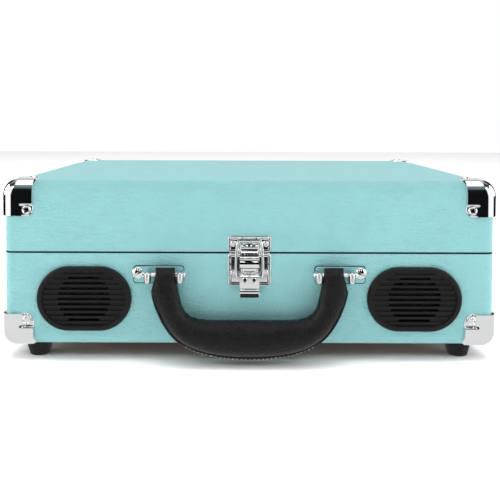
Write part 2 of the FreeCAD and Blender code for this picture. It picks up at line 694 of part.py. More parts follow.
def make_handle():
    out_y = FRONT - s.handle_pin_out
    pins = []
    for side, label in ((-1, "handle_bracket_left"), (1, "handle_bracket_right")):
        inner, outer = side * s.bracket_inner, side * s.bracket_outer
        low, high = (inner, outer) if side > 0 else (outer, inner)
        plate = block((low, high), (FRONT - s.plate, FRONT), (s.bracket_low, s.bracket_high))
        lugs = []
        for start in (s.inner_lug, s.outer_lug):
            near, far = side * start, side * (start + s.lug_width)
            first, last = (near, far) if side > 0 else (far, near)
            lugs.append(block((first, last), (out_y, FRONT - s.plate), (s.lug_low, s.lug_high)))
            lugs.append(rod(first, out_y, s.handle_pin_height, s.lug_nose, s.lug_width, "+X"))
        start = side * (s.inner_lug + (0 if side > 0 else s.lug_width + (s.outer_lug - s.inner_lug)))
        pin = rod(start, out_y, s.handle_pin_height, s.handle_pin_radius,
                  s.outer_lug + s.lug_width - s.inner_lug, "+X")
        pins.append(pin)
        dome = dome_screw(side * s.dome_side, FRONT - s.plate, s.dome_height, "-Y",
                          s.dome_radius, s.dome_rise, s.screw_length)
        node(cut(fuse(plate, *lugs), pin, dome), label)
    node(group(pins), "handle_pins")

    # Half outlines of the padded grip and of the steel strap in it, from the middle outwards.
    grip_low = [(0, 5.2), (20, 7.6), (35, 11.2), (45, 15), (56, 22), (62, 29), (67, 39.5), (69.7, 54),
                (69, 70)]
    grip_high = [(53, 70), (52.4, 55), (50.4, 47.5), (47, 41.5), (41, 37.2), (33, 34.4), (0, 33.4)]
    core_low = [(0, 13), (33, 16), (54, 27), (64.5, 46), (64.5, 69)]
    core_high = [(57.5, 69), (57.5, 48), (47, 33), (28, 23), (0, 20.5)]

    def strip(name, low, high, y_low, y_high):
        right = low + high
        left = [(-x, z) for x, z in reversed(right) if x > 0]
        body = new_body(name)
        sketch = sketch_on(body, "XZ_Plane", -y_high)
        draw_polygon(sketch, right[:-1] + [right[-1]] + left)
        pad(body, sketch, y_high - y_low)
        return body

    core_plate = strip("core_strap", core_low, core_high, out_y - s.core_thick / 2,
                       out_y + s.core_thick / 2)
    eyes = []
    for side in (-1, 1):
        start = side * 61 - 3.5
        eyes.append(rod(start, out_y, s.handle_pin_height, 3, 7, "+X"))
    bore = rod(-SIDE, out_y, s.handle_pin_height, s.handle_pin_radius + s.running, SIDE * 2, "+X")
    node(cut(fuse(core_plate, *eyes), bore), "handle_core")
    arms = strip("grip_arms", grip_low, grip_high, out_y - s.arm_thick / 2, out_y + s.arm_thick / 2)
    thick_low = grip_low[:6]
    thick_high = [(46, 32.6), (33, 34.4), (0, 33.4)]
    pad_y = (FRONT - s.handle_reach, FRONT - s.handle_reach + s.grip_thick)
    grip = strip("grip_pad", thick_low, thick_high, *pad_y)
    filling = fuse(strip("core_space", core_low, core_high, out_y - s.core_thick / 2,
                         out_y + s.core_thick / 2), *eyes)
    wide_bore = rod(-SIDE, out_y, s.handle_pin_height, s.handle_pin_radius + 0.4, SIDE * 2, "+X")
    node(cut(fuse(arms, grip), filling, wide_bore), "handle_grip")


def make_latch():
    pivot_y = FRONT - s.latch_pivot_out
    z = s.latch_pivot_height
    pin = rod(-s.lever_half, pivot_y, z, s.latch_pin, s.lever_half * 2, "+X")
    plate_y = (FRONT - s.latch_plate, FRONT)
    base_plate = block((-s.latch_half, s.latch_half), plate_y, (s.latch_low, BASE_TOP))
    knuckle = rod(-s.knuckle_half, pivot_y, z, s.latch_barrel, s.knuckle_half * 2, "+X")
    web = block((-s.knuckle_half, s.knuckle_half), (pivot_y, FRONT - s.latch_plate),
                (z - s.latch_barrel, z))
    node(cut(fuse(base_plate, knuckle, web, pin), *front_rivets(s.rivet_low)), "latch_plate")

    keeper = block((-s.latch_half, s.latch_half), plate_y, (LID_LOW, s.keeper_high))
    hook = block((-s.hook_half, s.hook_half), (FRONT - s.hook_out, FRONT - s.latch_plate),
                 (s.hook_low, s.hook_high))
    node(cut(fuse(keeper, hook), *front_rivets(s.rivet_high)), "latch_keeper")

    sheet_y = pivot_y - s.latch_barrel
    tongue = block((-s.lever_half, s.lever_half), (sheet_y, sheet_y + s.lever_sheet), (s.lever_low, z))
    lip = block((-s.lever_half, s.lever_half), (sheet_y - 2.4, sheet_y),
                (s.lever_low, s.lever_low + s.lever_sheet))
    parts = [tongue, lip]
    for side in (-1, 1):
        far, near = side * s.lever_half, side * (s.knuckle_half + s.gap)
        low, high = (near, far) if side > 0 else (far, near)
        parts.append(rod(low, pivot_y, z, s.latch_barrel, high - low, "+X"))
        flange = side * (s.lever_half - 1)
        low, high = (flange, far) if side > 0 else (far, flange)
        parts.append(block((low, high), (sheet_y, pivot_y + 1.6), (s.bail_height - 3, z)))
    clear_knuckle = block((-s.knuckle_half - s.gap, s.knuckle_half + s.gap),
                          (sheet_y - 1, pivot_y + s.latch_barrel + 1),
                          (z - s.latch_barrel - 1, z + s.latch_barrel + 1))
    bore = rod(-SIDE, pivot_y, z, s.latch_pin + s.running, SIDE * 2, "+X")
    bail_bore = rod(-SIDE, pivot_y, s.bail_height, s.bail_wire + s.running, SIDE * 2, "+X")
    eyelets = [rod(side * s.eyelet_side, sheet_y - 1, s.eyelet_height, s.eyelet_radius, 4, "+Y")
               for side in (-1, 1)]
    node(cut(fuse(*parts), clear_knuckle, bore, bail_bore, *eyelets), "latch_lever")
    make_bail(pivot_y.number)


def rounded_path(points, radius):
    """A wire through the points, with each corner replaced by a tangent arc."""
    edges = []
    start = points[0]
    for before, corner, after in zip(points, points[1:], points[2:]):
        back = (before - corner).normalize()
        ahead = (after - corner).normalize()
        half_turn = back.getAngle(ahead) / 2
        reach = radius / math.tan(half_turn)
        middle = (back + ahead).normalize() * (radius / math.sin(half_turn) - radius)
        edges.append(Part.LineSegment(start, corner + back * reach).toShape())
        edges.append(Part.Arc(corner + back * reach, corner + middle,
                              corner + ahead * reach).toShape())
        start = corner + ahead * reach
    edges.append(Part.LineSegment(start, points[-1]).toShape())
    return Part.Wire(edges)


def make_bail(y):
    """The wire loop: up both sides, across the top, with its ends turned in at the bottom."""
    half = s.bail_half.number
    low = s.bail_height.number
    top = s.bail_top.number
    end = s.lever_half.number - 1
    corners = [FreeCAD.Vector(x, y, z) for x, z in
               ((-end, low), (-half, low), (-half, top), (half, top), (half, low), (end, low))]
    upright = rounded_path(corners, 1.6)
    profile = Part.Wire(Part.Circle(corners[0], FreeCAD.Vector(1, 0, 0), s.bail_wire.number).toShape())
    loop = doc.addObject("Part::Feature", "bail")
    loop.Shape = upright.makePipeShell([profile], True, False)
    node(loop, "latch_bail")


# ---------------------------------------------------------------- deck and drive

def chassis_places():
    across = INNER_SIDE - s.cleat / 2
    return [(side * across, y) for side in (-1, 1)
            for y in (INNER_FRONT + s.cleat / 2, INNER_BACK - s.cleat / 2)]


def chassis_screw(x, y):
    return dome_screw(x, y, s.deck_top, "+Z", 3, 1.2, s.deck_thick + 8)


def motor_place():
    angle = math.radians(s.motor_angle.number)
    return (s.spindle_x + s.motor_distance * round(math.cos(angle), 4),
            SPINDLE_Y + s.motor_distance * round(math.sin(angle), 4))


def make_deck():
    x, y = s.spindle_x, SPINDLE_Y
    deck = (DECK_LOW, s.deck_top)
    plate = inside(s.loose, *deck)
    low = s.well_floor - s.well_wall
    cup = rod(x, y, low, s.well_radius + s.well_wall, s.deck_top - low)
    hollow = rod(x, y, s.well_floor, s.well_radius, s.deck_top)
    motor_x, motor_y = motor_place()
    holes = [rod(x, y, low - 1, s.bush_radius, s.well_wall + 2),
             rod(motor_x, motor_y, low - 1, s.motor_hole, s.well_wall + 2)]
    for back in (s.volume_back, s.function_back):
        holes.append(rod(s.knob_x, MIDDLE + back, DECK_LOW - 1, s.knob_shaft + s.gap, 5))
    holes.append(rod(s.knob_x, MIDDLE + s.led_back, DECK_LOW - 1, s.led_radius, 5))
    for index in (0, 1):
        holes.append(rod(s.socket_x + index * s.socket_pitch, MIDDLE + s.socket_back, DECK_LOW - 1,
                         s.socket_radius, 5))
    reach = s.slot_travel + s.stem / 2 + s.gap
    for centre, back in ((s.speed_x, s.speed_back), (s.stop_x, s.stop_back)):
        holes.append(block((centre - reach, centre + reach),
                           (MIDDLE + back - s.stem, MIDDLE + back + s.stem), (DECK_LOW - 1, deck[1] + 1)))
    post = rod(s.adapter_x, MIDDLE + s.adapter_back, DECK_LOW, s.adapter_post,
               s.deck_thick + s.adapter_post_rise)
    cups = cut(fuse(plate, cup, post), hollow)
    screws = [chassis_screw(*place) for place in chassis_places()]
    node(cut(cups, *holes, *screws), "deck_plate")


def make_drive():
    x, y = s.spindle_x, SPINDLE_Y
    disc_low = s.platter_top - s.platter_web
    ring_in = s.ring_radius - s.ring_wall
    rim_in = s.platter_radius - s.platter_rim
    outline = [(s.spindle_radius, s.ring_low), (s.hub_radius, s.ring_low), (s.hub_radius, disc_low),
               (ring_in, disc_low), (ring_in, s.ring_low), (s.ring_radius, s.ring_low),
               (s.ring_radius, disc_low), (rim_in, disc_low), (rim_in, s.rim_low),
               (s.platter_radius, s.rim_low), (s.platter_radius, s.platter_top - 0.8),
               (s.platter_radius - 0.8, s.platter_top), (s.spindle_radius, s.platter_top)]
    node(turned("platter", x, y, outline), "platter")
    mat_top = s.platter_top + s.mat_thick
    mat = [(s.record_pin + s.gap, s.platter_top), (s.mat_radius, s.platter_top),
           (s.mat_radius, mat_top - 0.5), (s.mat_radius - 0.5, mat_top),
           (s.record_pin + s.gap, mat_top)]
    node(turned("slip_mat", x, y, mat), "slip_mat")
    foot = s.bush_low + 2
    pin_low = mat_top + s.gap
    shaft = [(0, foot), (s.spindle_radius, foot), (s.spindle_radius, pin_low),
             (s.record_pin, pin_low), (s.record_pin, s.record_pin_top),
             (s.record_pin - 1, s.record_pin_top + s.pin_tip * 0.7),
             (0, s.record_pin_top + s.pin_tip)]
    node(turned("spindle", x, y, shaft), "spindle")
    bore = s.spindle_radius + s.running
    bush_top = s.ring_low - s.gap
    bush = [(0, s.bush_low), (s.bush_radius, s.bush_low), (s.bush_radius, bush_top),
            (bore, bush_top), (bore, foot - s.gap), (0, foot - s.gap)]
    node(turned("bearing_bush", x, y, bush), "bearing_bush")

    motor_x, motor_y = motor_place()
    under = s.well_floor - s.well_wall
    can = fuse(rod(motor_x, motor_y, s.motor_low, s.motor_radius, under - s.motor_low),
               rod(motor_x, motor_y, under, s.motor_hole - 3, 1.4))
    shaft_bore = rod(motor_x, motor_y, s.motor_low + 4, s.motor_shaft + s.running, s.motor_low)
    node(cut(can, shaft_bore), "motor")
    wheel_top = s.pulley_low + s.pulley_height
    low = s.motor_low + 4.5
    pulley = [(0, low), (s.motor_shaft, low), (s.motor_shaft, s.pulley_low - 1),
              (s.pulley_radius + 1, s.pulley_low - 1), (s.pulley_radius + 1, s.pulley_low),
              (s.pulley_radius, s.pulley_low), (s.pulley_radius, wheel_top),
              (s.pulley_radius + 1, wheel_top), (s.pulley_radius + 1, wheel_top + 1), (0, wheel_top + 1)]
    node(turned("motor_pulley", motor_x, motor_y, pulley), "motor_pulley")
    make_belt()


def make_belt():
    """A flat belt round the platter's ring and the pulley, just clear of both."""
    def loop(extra):
        big = s.ring_radius.number + s.gap.number + extra
        small = s.pulley_radius.number + s.gap.number + extra
        distance = s.motor_distance.number
        lean = math.acos((big - small) / distance)

        def place(centre, radius, angle):
            return FreeCAD.Vector(centre + radius * math.cos(angle), radius * math.sin(angle), 0)

        edges = [Part.Arc(place(0, big, lean), place(0, big, math.pi), place(0, big, -lean)),
                 Part.LineSegment(place(0, big, -lean), place(distance, small, -lean)),
                 Part.Arc(place(distance, small, -lean), place(distance, small, 0),
                          place(distance, small, lean)),
                 Part.LineSegment(place(distance, small, lean), place(0, big, lean))]
        return Part.Face(Part.Wire([edge.toShape() for edge in edges]))

    height = s.pulley_height.number - 2
    up = FreeCAD.Vector(0, 0, height)
    belt = doc.addObject("Part::Feature", "belt")
    belt.Shape = loop(s.belt_thick.number).extrude(up).cut(loop(0).extrude(up))
    belt.Placement = FreeCAD.Placement(
        FreeCAD.Vector(s.spindle_x.number, SPINDLE_Y.number, s.pulley_low.number + 1),
        FreeCAD.Rotation(FreeCAD.Vector(0, 0, 1), s.motor_angle.number))
    node(belt, "drive_belt")


# ---------------------------------------------------------------- tonearm

def make_tonearm():
    x, y = s.arm_x, ARM_Y
    top = s.column_top
    foot = rod(x, y, s.deck_top, s.arm_base_radius, s.arm_base_step)
    column = rod(x, y, s.deck_top, s.column_radius, top - s.deck_top)
    front_y = y - s.lift_forward
    guide = rod(s.lift_post_x, front_y, s.deck_top, s.lift_guide, 10)
    apron = block((s.lift_post_x - s.lift_guide, s.lever_x + 4), (front_y - s.lift_guide, y),
                  (s.deck_top, s.deck_top + 3))
    ears = [block((s.lever_x - 5, s.lever_x - 3), (front_y - 4, front_y + 4), (s.deck_top, 83)),
            block((s.lever_x + 3, s.lever_x + 5), (front_y - 4, front_y + 4), (s.deck_top, 83))]
    lever_pin = rod(s.lever_x - 5, front_y, 80, 1.2, 10, "+X")
    post_bore = rod(s.lift_post_x, front_y, s.deck_top + 0.5, s.lift_post + s.running, 20)
    stub_bore = rod(x, y, top - 8, 2 + s.running, 20)
    body = fuse(foot, column, guide, apron, *ears, lever_pin)
    node(cut(body, post_bore, stub_bore), "tonearm_base")

    # The lever that raises the bar under the arm.
    hub = rod(s.lever_x - 2.6, front_y, 80, 2.6, 5.2, "+X")
    stick = block((s.lever_x - 1.2, s.lever_x + 1.2), (front_y - s.lever_reach, front_y), (79, 81))
    knob = rod(s.lever_x - 2.4, front_y - s.lever_reach, 80, 2.2, 4.8, "+X")
    pin_bore = rod(s.lever_x - 5, front_y, 80, 1.2 + s.running, 10, "+X")
    node(cut(fuse(hub, stick, knob), pin_bore), "lift_lever")
    under = s.arm_height - s.arm_tube - 0.6
    bar = block((s.lift_bar_left, s.lift_bar_right), (front_y - 1.5, front_y + 1.5), (under - 2.4, under))
    post = rod(s.lift_post_x, front_y, s.deck_top + 2, s.lift_post, under - 1 - s.deck_top - 2)
    node(fuse(bar, post), "lift_bar")

    # The yoke turns on the column and carries the arm's cross pin.
    turntable = rod(x, y, top + s.gap, s.yoke_radius, s.yoke_web)
    stub = rod(x, y, top - 7, 2, 8)
    prongs = [block((x + side * 7 - s.prong / 2, x + side * 7 + s.prong / 2), (y - 5, y + 5),
                    (top + 1, s.arm_height + 4)) for side in (-1, 1)]
    cross_pin = rod(x - 8.25, y, s.arm_height, s.arm_pivot, 16.5, "+X")
    node(fuse(turntable, stub, *prongs, cross_pin), "tonearm_yoke")
    tail = s.arm_tail
    shell_y = y - s.arm_length + 14
    tube = rod(x, y + tail, s.arm_height, s.arm_tube, tail + s.arm_length - 14 - 18, "-Y")
    thick_end = rod(x, y + tail, s.arm_height, s.arm_tube + 1.4, 12, "-Y")
    pivot_bore = rod(x - 9, y, s.arm_height, s.arm_pivot + s.running, 18, "+X")
    node(cut(fuse(tube, thick_end), pivot_bore), "tonearm_tube")

    # The headshell is turned towards the spindle so that the stylus follows the groove.
    neck_y = shell_y + 18
    turn = FreeCAD.Rotation(FreeCAD.Vector(0, 0, 1), -s.shell_turn.number)

    def turned_block(half_width, back, front, z_low, z_high):
        """A block that runs forward from the neck, turned about it."""
        thing = doc.addObject("Part::Box", "turned_block")
        bind(thing, "Length", half_width * 2)
        bind(thing, "Width", front - back)
        bind(thing, "Height", z_high - z_low)
        corner = turn.multVec(FreeCAD.Vector(-lift(half_width).number, -lift(front).number, 0))
        thing.Placement.Rotation = turn
        set_base(thing, x + round(corner.x, 4), neck_y + round(corner.y, 4), z_low)
        return thing

    z = s.arm_height
    shell = turned_block(s.shell_width / 2, lift(0), s.shell_length, z - 1, z - 1 + s.shell_thick)
    finger = turned_block(lift(1.5), s.shell_length - 2, s.shell_length + 9, z - 1, z)
    socket = rod(x, neck_y + 8, z, s.arm_tube - 1, 10, "-Y")
    arm_end = rod(x, neck_y + 40, z, s.arm_tube, 40, "-Y")
    node(cut(fuse(shell, finger, socket), arm_end), "headshell")
    body = turned_block(s.cartridge_width / 2, lift(6), 6 + s.cartridge_length,
                        z - 1 - s.cartridge_height, z - 1)
    nose = turned_block(lift(2), lift(22), lift(29), s.stylus_low + 1, z - 1 - s.cartridge_height)
    tip = turned_block(lift(0.5), lift(26), lift(27), s.stylus_low, s.stylus_low + 1)
    node(fuse(body, nose, tip), "cartridge")
    make_arm_rest()


def make_arm_rest():
    """A post with a low floor and one wall, and a hinged clip that folds over the arm."""
    x = s.arm_x
    y = MIDDLE + s.rest_y_back
    floor = s.arm_height - s.arm_tube - s.gap
    half = s.rest_depth / 2
    post = block((x - 4, x + 8), (y - half, y + half), (s.deck_top, floor - 2))
    pads = block((x - 6, x + 8), (y - half, y + half), (floor - 3, floor))
    hinge_z = s.arm_height + 4
    hinge_x = x + 6.4
    wall = block((x + 4.8, x + 8), (y - half, y + half), (floor - 3, hinge_z - 2.2))
    pin = rod(hinge_x, y - half, hinge_z, 1, s.rest_depth, "+Y")
    ears = [rod(hinge_x, start, hinge_z, 2.4, 2, "+Y") for start in (y - half, y + half - 2)]
    node(fuse(post, pads, wall, pin, *ears), "tonearm_rest")
    hub = rod(hinge_x, y - half + 2.3, hinge_z, 1.9, s.rest_depth - 4.6, "+Y")
    stem = block((hinge_x - 1, hinge_x + 1), (y - 1.7, y + 1.7), (hinge_z, hinge_z + s.clip_reach))
    hook = block((hinge_x - 4, hinge_x + 1), (y - 1.7, y + 1.7),
                 (hinge_z + s.clip_reach, hinge_z + s.clip_reach + s.clip_thick))
    bore = rod(hinge_x, y - half, hinge_z, 1 + s.running, s.rest_depth, "+Y")
    node(cut(fuse(hub, stem, hook), bore), "rest_clip")


# ---------------------------------------------------------------- controls, jacks and electronics

def make_knob(label, back):
    """A knob with a chamfered top, finger flutes and its shaft."""
    x, y = s.knob_x, MIDDLE + back
    low = s.deck_top + 0.5
    top = low + s.knob_height
    shaft_low = DECK_LOW - 7
    outline = [(0, shaft_low), (s.knob_shaft, shaft_low), (s.knob_shaft, low), (s.knob_radius, low),
               (s.knob_radius, low + 2), (s.knob_radius - 1.6, low + 2.5),
               (s.knob_radius - 1.6, top - 1), (s.knob_radius - 2.6, top), (0, top)]
    body = turned(label, x, y, outline)
    flute = sketch_on(body, "XY_Plane", top)
    draw_circle(flute, s.knob_radius - 1.1, 0, 1)
    carved = pocket(body, flute, s.knob_height - 3.5)
    ring = body.newObject("PartDesign::PolarPattern", "flutes")
    ring.Originals = [carved]
    ring.Axis = (flute, ["N_Axis"])
    ring.Angle = 360
    ring.Occurrences = 18
    body.Tip = ring
    node(body, label)


def make_controls():
    make_knob("volume_knob", s.volume_back)
    make_knob("function_knob", s.function_back)
    pots = []
    for back in (s.volume_back, s.function_back):
        y = MIDDLE + back
        can = rod(s.knob_x, y, DECK_LOW - s.pot_height, s.pot_radius, s.pot_height)
        pots.append(cut(can, rod(s.knob_x, y, DECK_LOW - 7.5, s.knob_shaft + s.running, 10)))
    node(group(pots), "control_pots")
    for label, x, back in (("speed_slider", s.speed_x, s.speed_back),
                           ("stop_slider", s.stop_x, s.stop_back)):
        y = MIDDLE + back
        low = s.deck_top + s.gap
        cap = block((x - s.slider_length / 2, x + s.slider_length / 2),
                    (y - s.slider_width / 2, y + s.slider_width / 2), (low, low + 2))
        ridge = block((x - 1, x + 1), (y - s.slider_width / 2, y + s.slider_width / 2),
                      (low, low + s.slider_height))
        stem = block((x - s.stem / 2, x + s.stem / 2), (y - s.stem / 2, y + s.stem / 2),
                     (DECK_LOW - 3, low))
        node(fuse(cap, ridge, stem), label)
    x, y = s.adapter_x, MIDDLE + s.adapter_back
    low = s.deck_top + s.gap
    top = low + s.adapter_thick
    adapter = [(s.adapter_hole, low), (s.adapter_radius, low), (s.adapter_radius, top - 1),
               (s.adapter_radius - 1, top), (10, top), (8, top + 1), (s.adapter_hole, top + 1)]
    node(turned("adapter_45", x, y, adapter), "adapter_45")
    lamp_y = MIDDLE + s.led_back
    node(fuse(rod(s.knob_x, lamp_y, DECK_LOW - 4, s.led_radius, s.deck_thick + 4.4)), "indicator_led")


def make_jacks():
    sockets = []
    for index in (0, 1):
        x = s.socket_x + index * s.socket_pitch
        y = MIDDLE + s.socket_back
        low = s.deck_top + s.socket_rise - s.socket_depth - 2
        sleeve = fuse(rod(x, y, low, s.socket_radius, s.socket_depth + 2),
                      rod(x, y, s.deck_top, s.socket_radius + 1.5, s.socket_rise))
        sockets.append(cut(sleeve, rod(x, y, low + 2, s.socket_bore, s.socket_depth)))
    node(group(sockets), "audio_jacks")

    face = INNER_BACK
    z = s.panel_height
    plate = block((s.panel_x - s.panel_half - 5, s.panel_x + s.panel_half + 5),
                  (face - s.panel_thick, face), (z - s.panel_half_height - 4, z + s.panel_half_height + 4))
    jacks = []
    holes = []
    for index in (0, 1):
        x = s.panel_x + s.phono_pitch * (index - 1)
        shell = rod(x, face - 8, z, s.phono_radius, 8 + s.phono_length - 1, "+Y")
        collar = rod(x, face, z, s.phono_radius + 1.6, 1.2, "+Y")
        bore = rod(x, face, z, s.phono_bore, s.phono_length, "+Y")
        jacks.append(cut(fuse(shell, collar), bore))
        holes.append(rod(x, face - 5, z, s.phono_radius, 10, "+Y"))
    node(group(jacks), "output_jacks")
    x = s.panel_x + s.phono_pitch
    housing = rod(x, face - 10, z, s.power_radius, 11.5, "+Y")
    well = rod(x, face - 8, z, s.power_bore, 12, "+Y")
    centre_pin = rod(x, face - 8.5, z, s.power_pin, 9, "+Y")
    node(fuse(cut(housing, well), centre_pin), "dc_jack")
    holes.append(rod(x, face - 5, z, s.power_radius, 10, "+Y"))
    node(cut(plate, *holes), "jack_panel")


def make_board():
    """The amplifier board with its taller components, on four posts from the bottom board."""
    x = (s.board_x - s.board_length / 2, s.board_x + s.board_length / 2)
    middle_y = MIDDLE + s.board_back
    y = (middle_y - s.board_width / 2, middle_y + s.board_width / 2)
    z = s.board_height
    board = block(x, y, (z, z + s.board_thick))
    top = z + s.board_thick
    chips = [block((x[0] + 12, x[0] + 30), (y[0] + 10, y[0] + 22), (top, top + 3)),
             block((x[0] + 40, x[0] + 56), (y[0] + 30, y[0] + 50), (top, top + 12)),
             block((x[0] + 62, x[0] + 80), (y[0] + 8, y[0] + 16), (top, top + 4))]
    cans = [rod(x[0] + 15 + 14 * index, y[0] + 40, top, 5, 12) for index in (0, 1)]
    cans += [rod(x[0] + 66 + 11 * index, y[0] + 34, top, 4, 9) for index in (0, 1)]
    posts = [rod(px, py, s.foot_height + s.bottom_board, s.standoff,
                 z - s.foot_height - s.bottom_board)
             for px in (x[0] + 5, x[1] - 5) for py in (y[0] + 5, y[1] - 5)]
    node(fuse(board, *chips, *cans, *posts), "main_board")


make_lid()
make_base()
make_feet()
make_hinges()
make_grille(-1, "speaker_grille_left")
make_grille(1, "speaker_grille_right")
node(group([make_speaker(-1, "speaker_left"), make_speaker(1, "speaker_right")]), "speaker_cones")
make_handle()
make_latch()
make_deck()
make_drive()
make_tonearm()
make_controls()
make_jacks()
make_board()
doc.recompute()

for thing in doc.Objects:
    if "Invalid" in thing.State or "Error" in thing.State:
        raise RuntimeError(f"{thing.Name} ({thing.Label}) failed: {thing.State}")

for thing in nodes:
    if thing.Shape.isNull() or not thing.Shape.isValid():
        raise RuntimeError(f"{thing.Label} has no valid shape")
    if not thing.Shape.Solids:
        raise RuntimeError(f"{thing.Label} has no solid")

os.makedirs("parts", exist_ok=True)
for thing in nodes:
    thing.Shape.exportStep(f"parts/{thing.Label}.step")
print(f"{len(nodes)} sub-parts written")
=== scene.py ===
import json
import math

import bmesh
import bpy
from mathutils import Matrix, Vector


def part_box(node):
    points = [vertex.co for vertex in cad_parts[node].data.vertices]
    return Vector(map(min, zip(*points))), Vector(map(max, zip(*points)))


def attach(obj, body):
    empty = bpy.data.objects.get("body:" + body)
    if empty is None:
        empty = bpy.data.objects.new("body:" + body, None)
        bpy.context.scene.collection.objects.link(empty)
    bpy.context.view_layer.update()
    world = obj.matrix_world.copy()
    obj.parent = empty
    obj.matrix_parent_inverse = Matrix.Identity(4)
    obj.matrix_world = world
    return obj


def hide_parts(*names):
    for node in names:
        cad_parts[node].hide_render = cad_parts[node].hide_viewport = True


# Suitcase record player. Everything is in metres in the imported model's frame:
# +X to the right seen from the front, the front faces -Y, +Z up.

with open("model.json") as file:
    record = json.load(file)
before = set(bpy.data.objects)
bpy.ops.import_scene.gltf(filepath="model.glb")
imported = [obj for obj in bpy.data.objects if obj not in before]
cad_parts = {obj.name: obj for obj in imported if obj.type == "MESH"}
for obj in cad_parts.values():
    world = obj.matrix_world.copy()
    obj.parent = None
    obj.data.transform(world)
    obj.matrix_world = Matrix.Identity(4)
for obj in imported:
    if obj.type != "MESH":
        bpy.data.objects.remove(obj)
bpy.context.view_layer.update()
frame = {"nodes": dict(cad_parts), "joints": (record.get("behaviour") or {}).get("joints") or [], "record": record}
NODES = frame["nodes"]
MM = 0.001
SOFT_LIGHT = 0.42

lid_low, lid_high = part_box("lid_wrap")
base_low, base_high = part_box("base_wrap")
SIDE = base_high.x
FRONT = base_low.y
BACK = base_high.y
TOP = lid_high.z
BASE_LOW = base_low.z
SEAM = (base_high.z + lid_low.z) / 2


# ---------------------------------------------------------------- camera, stage and light

def make_camera():
    """Almost level, in front of the case and a little above its lid, as the photograph looks at it."""
    down, roll = math.radians(1.5), math.radians(-0.17)
    data = bpy.data.cameras.new("camera")
    data.sensor_width = 36
    data.lens = 49.22
    data.shift_x = 0.0258
    data.shift_y = -0.2274
    data.clip_start = 0.01
    camera = bpy.data.objects.new("camera", data)
    bpy.context.scene.collection.objects.link(camera)
    camera.location = (-0.0093, FRONT - 0.4967, TOP + 0.0457)
    camera.rotation_euler = (math.pi / 2 - down, roll, 0)
    bpy.context.scene.camera = camera


def make_floor(half):
    """A flat white floor. Gloss doesn't see it: the world has the floor that gloss sees."""
    mesh = bpy.data.meshes.new("floor")
    mesh.from_pydata([(-half, -half, 0), (half, -half, 0), (half, half, 0), (-half, half, 0)], [],
                     [(0, 1, 2, 3)])
    floor = bpy.data.objects.new("floor", mesh)
    bpy.context.scene.collection.objects.link(floor)
    floor.visible_glossy = False
    paint(floor, SURFACES["floor"])
    return floor


def make_light(name, place, aim, width, height, power):
    """A soft white panel at a place, facing a point; the camera doesn't see it."""
    data = bpy.data.lights.new(name, "AREA")
    data.shape = "RECTANGLE"
    data.size = width
    data.size_y = height
    data.energy = power
    light = bpy.data.objects.new(name, data)
    bpy.context.scene.collection.objects.link(light)
    light.location = place
    light.rotation_euler = (Vector(aim) - Vector(place)).to_track_quat("-Z", "Y").to_euler()
    light.visible_camera = False
    return light


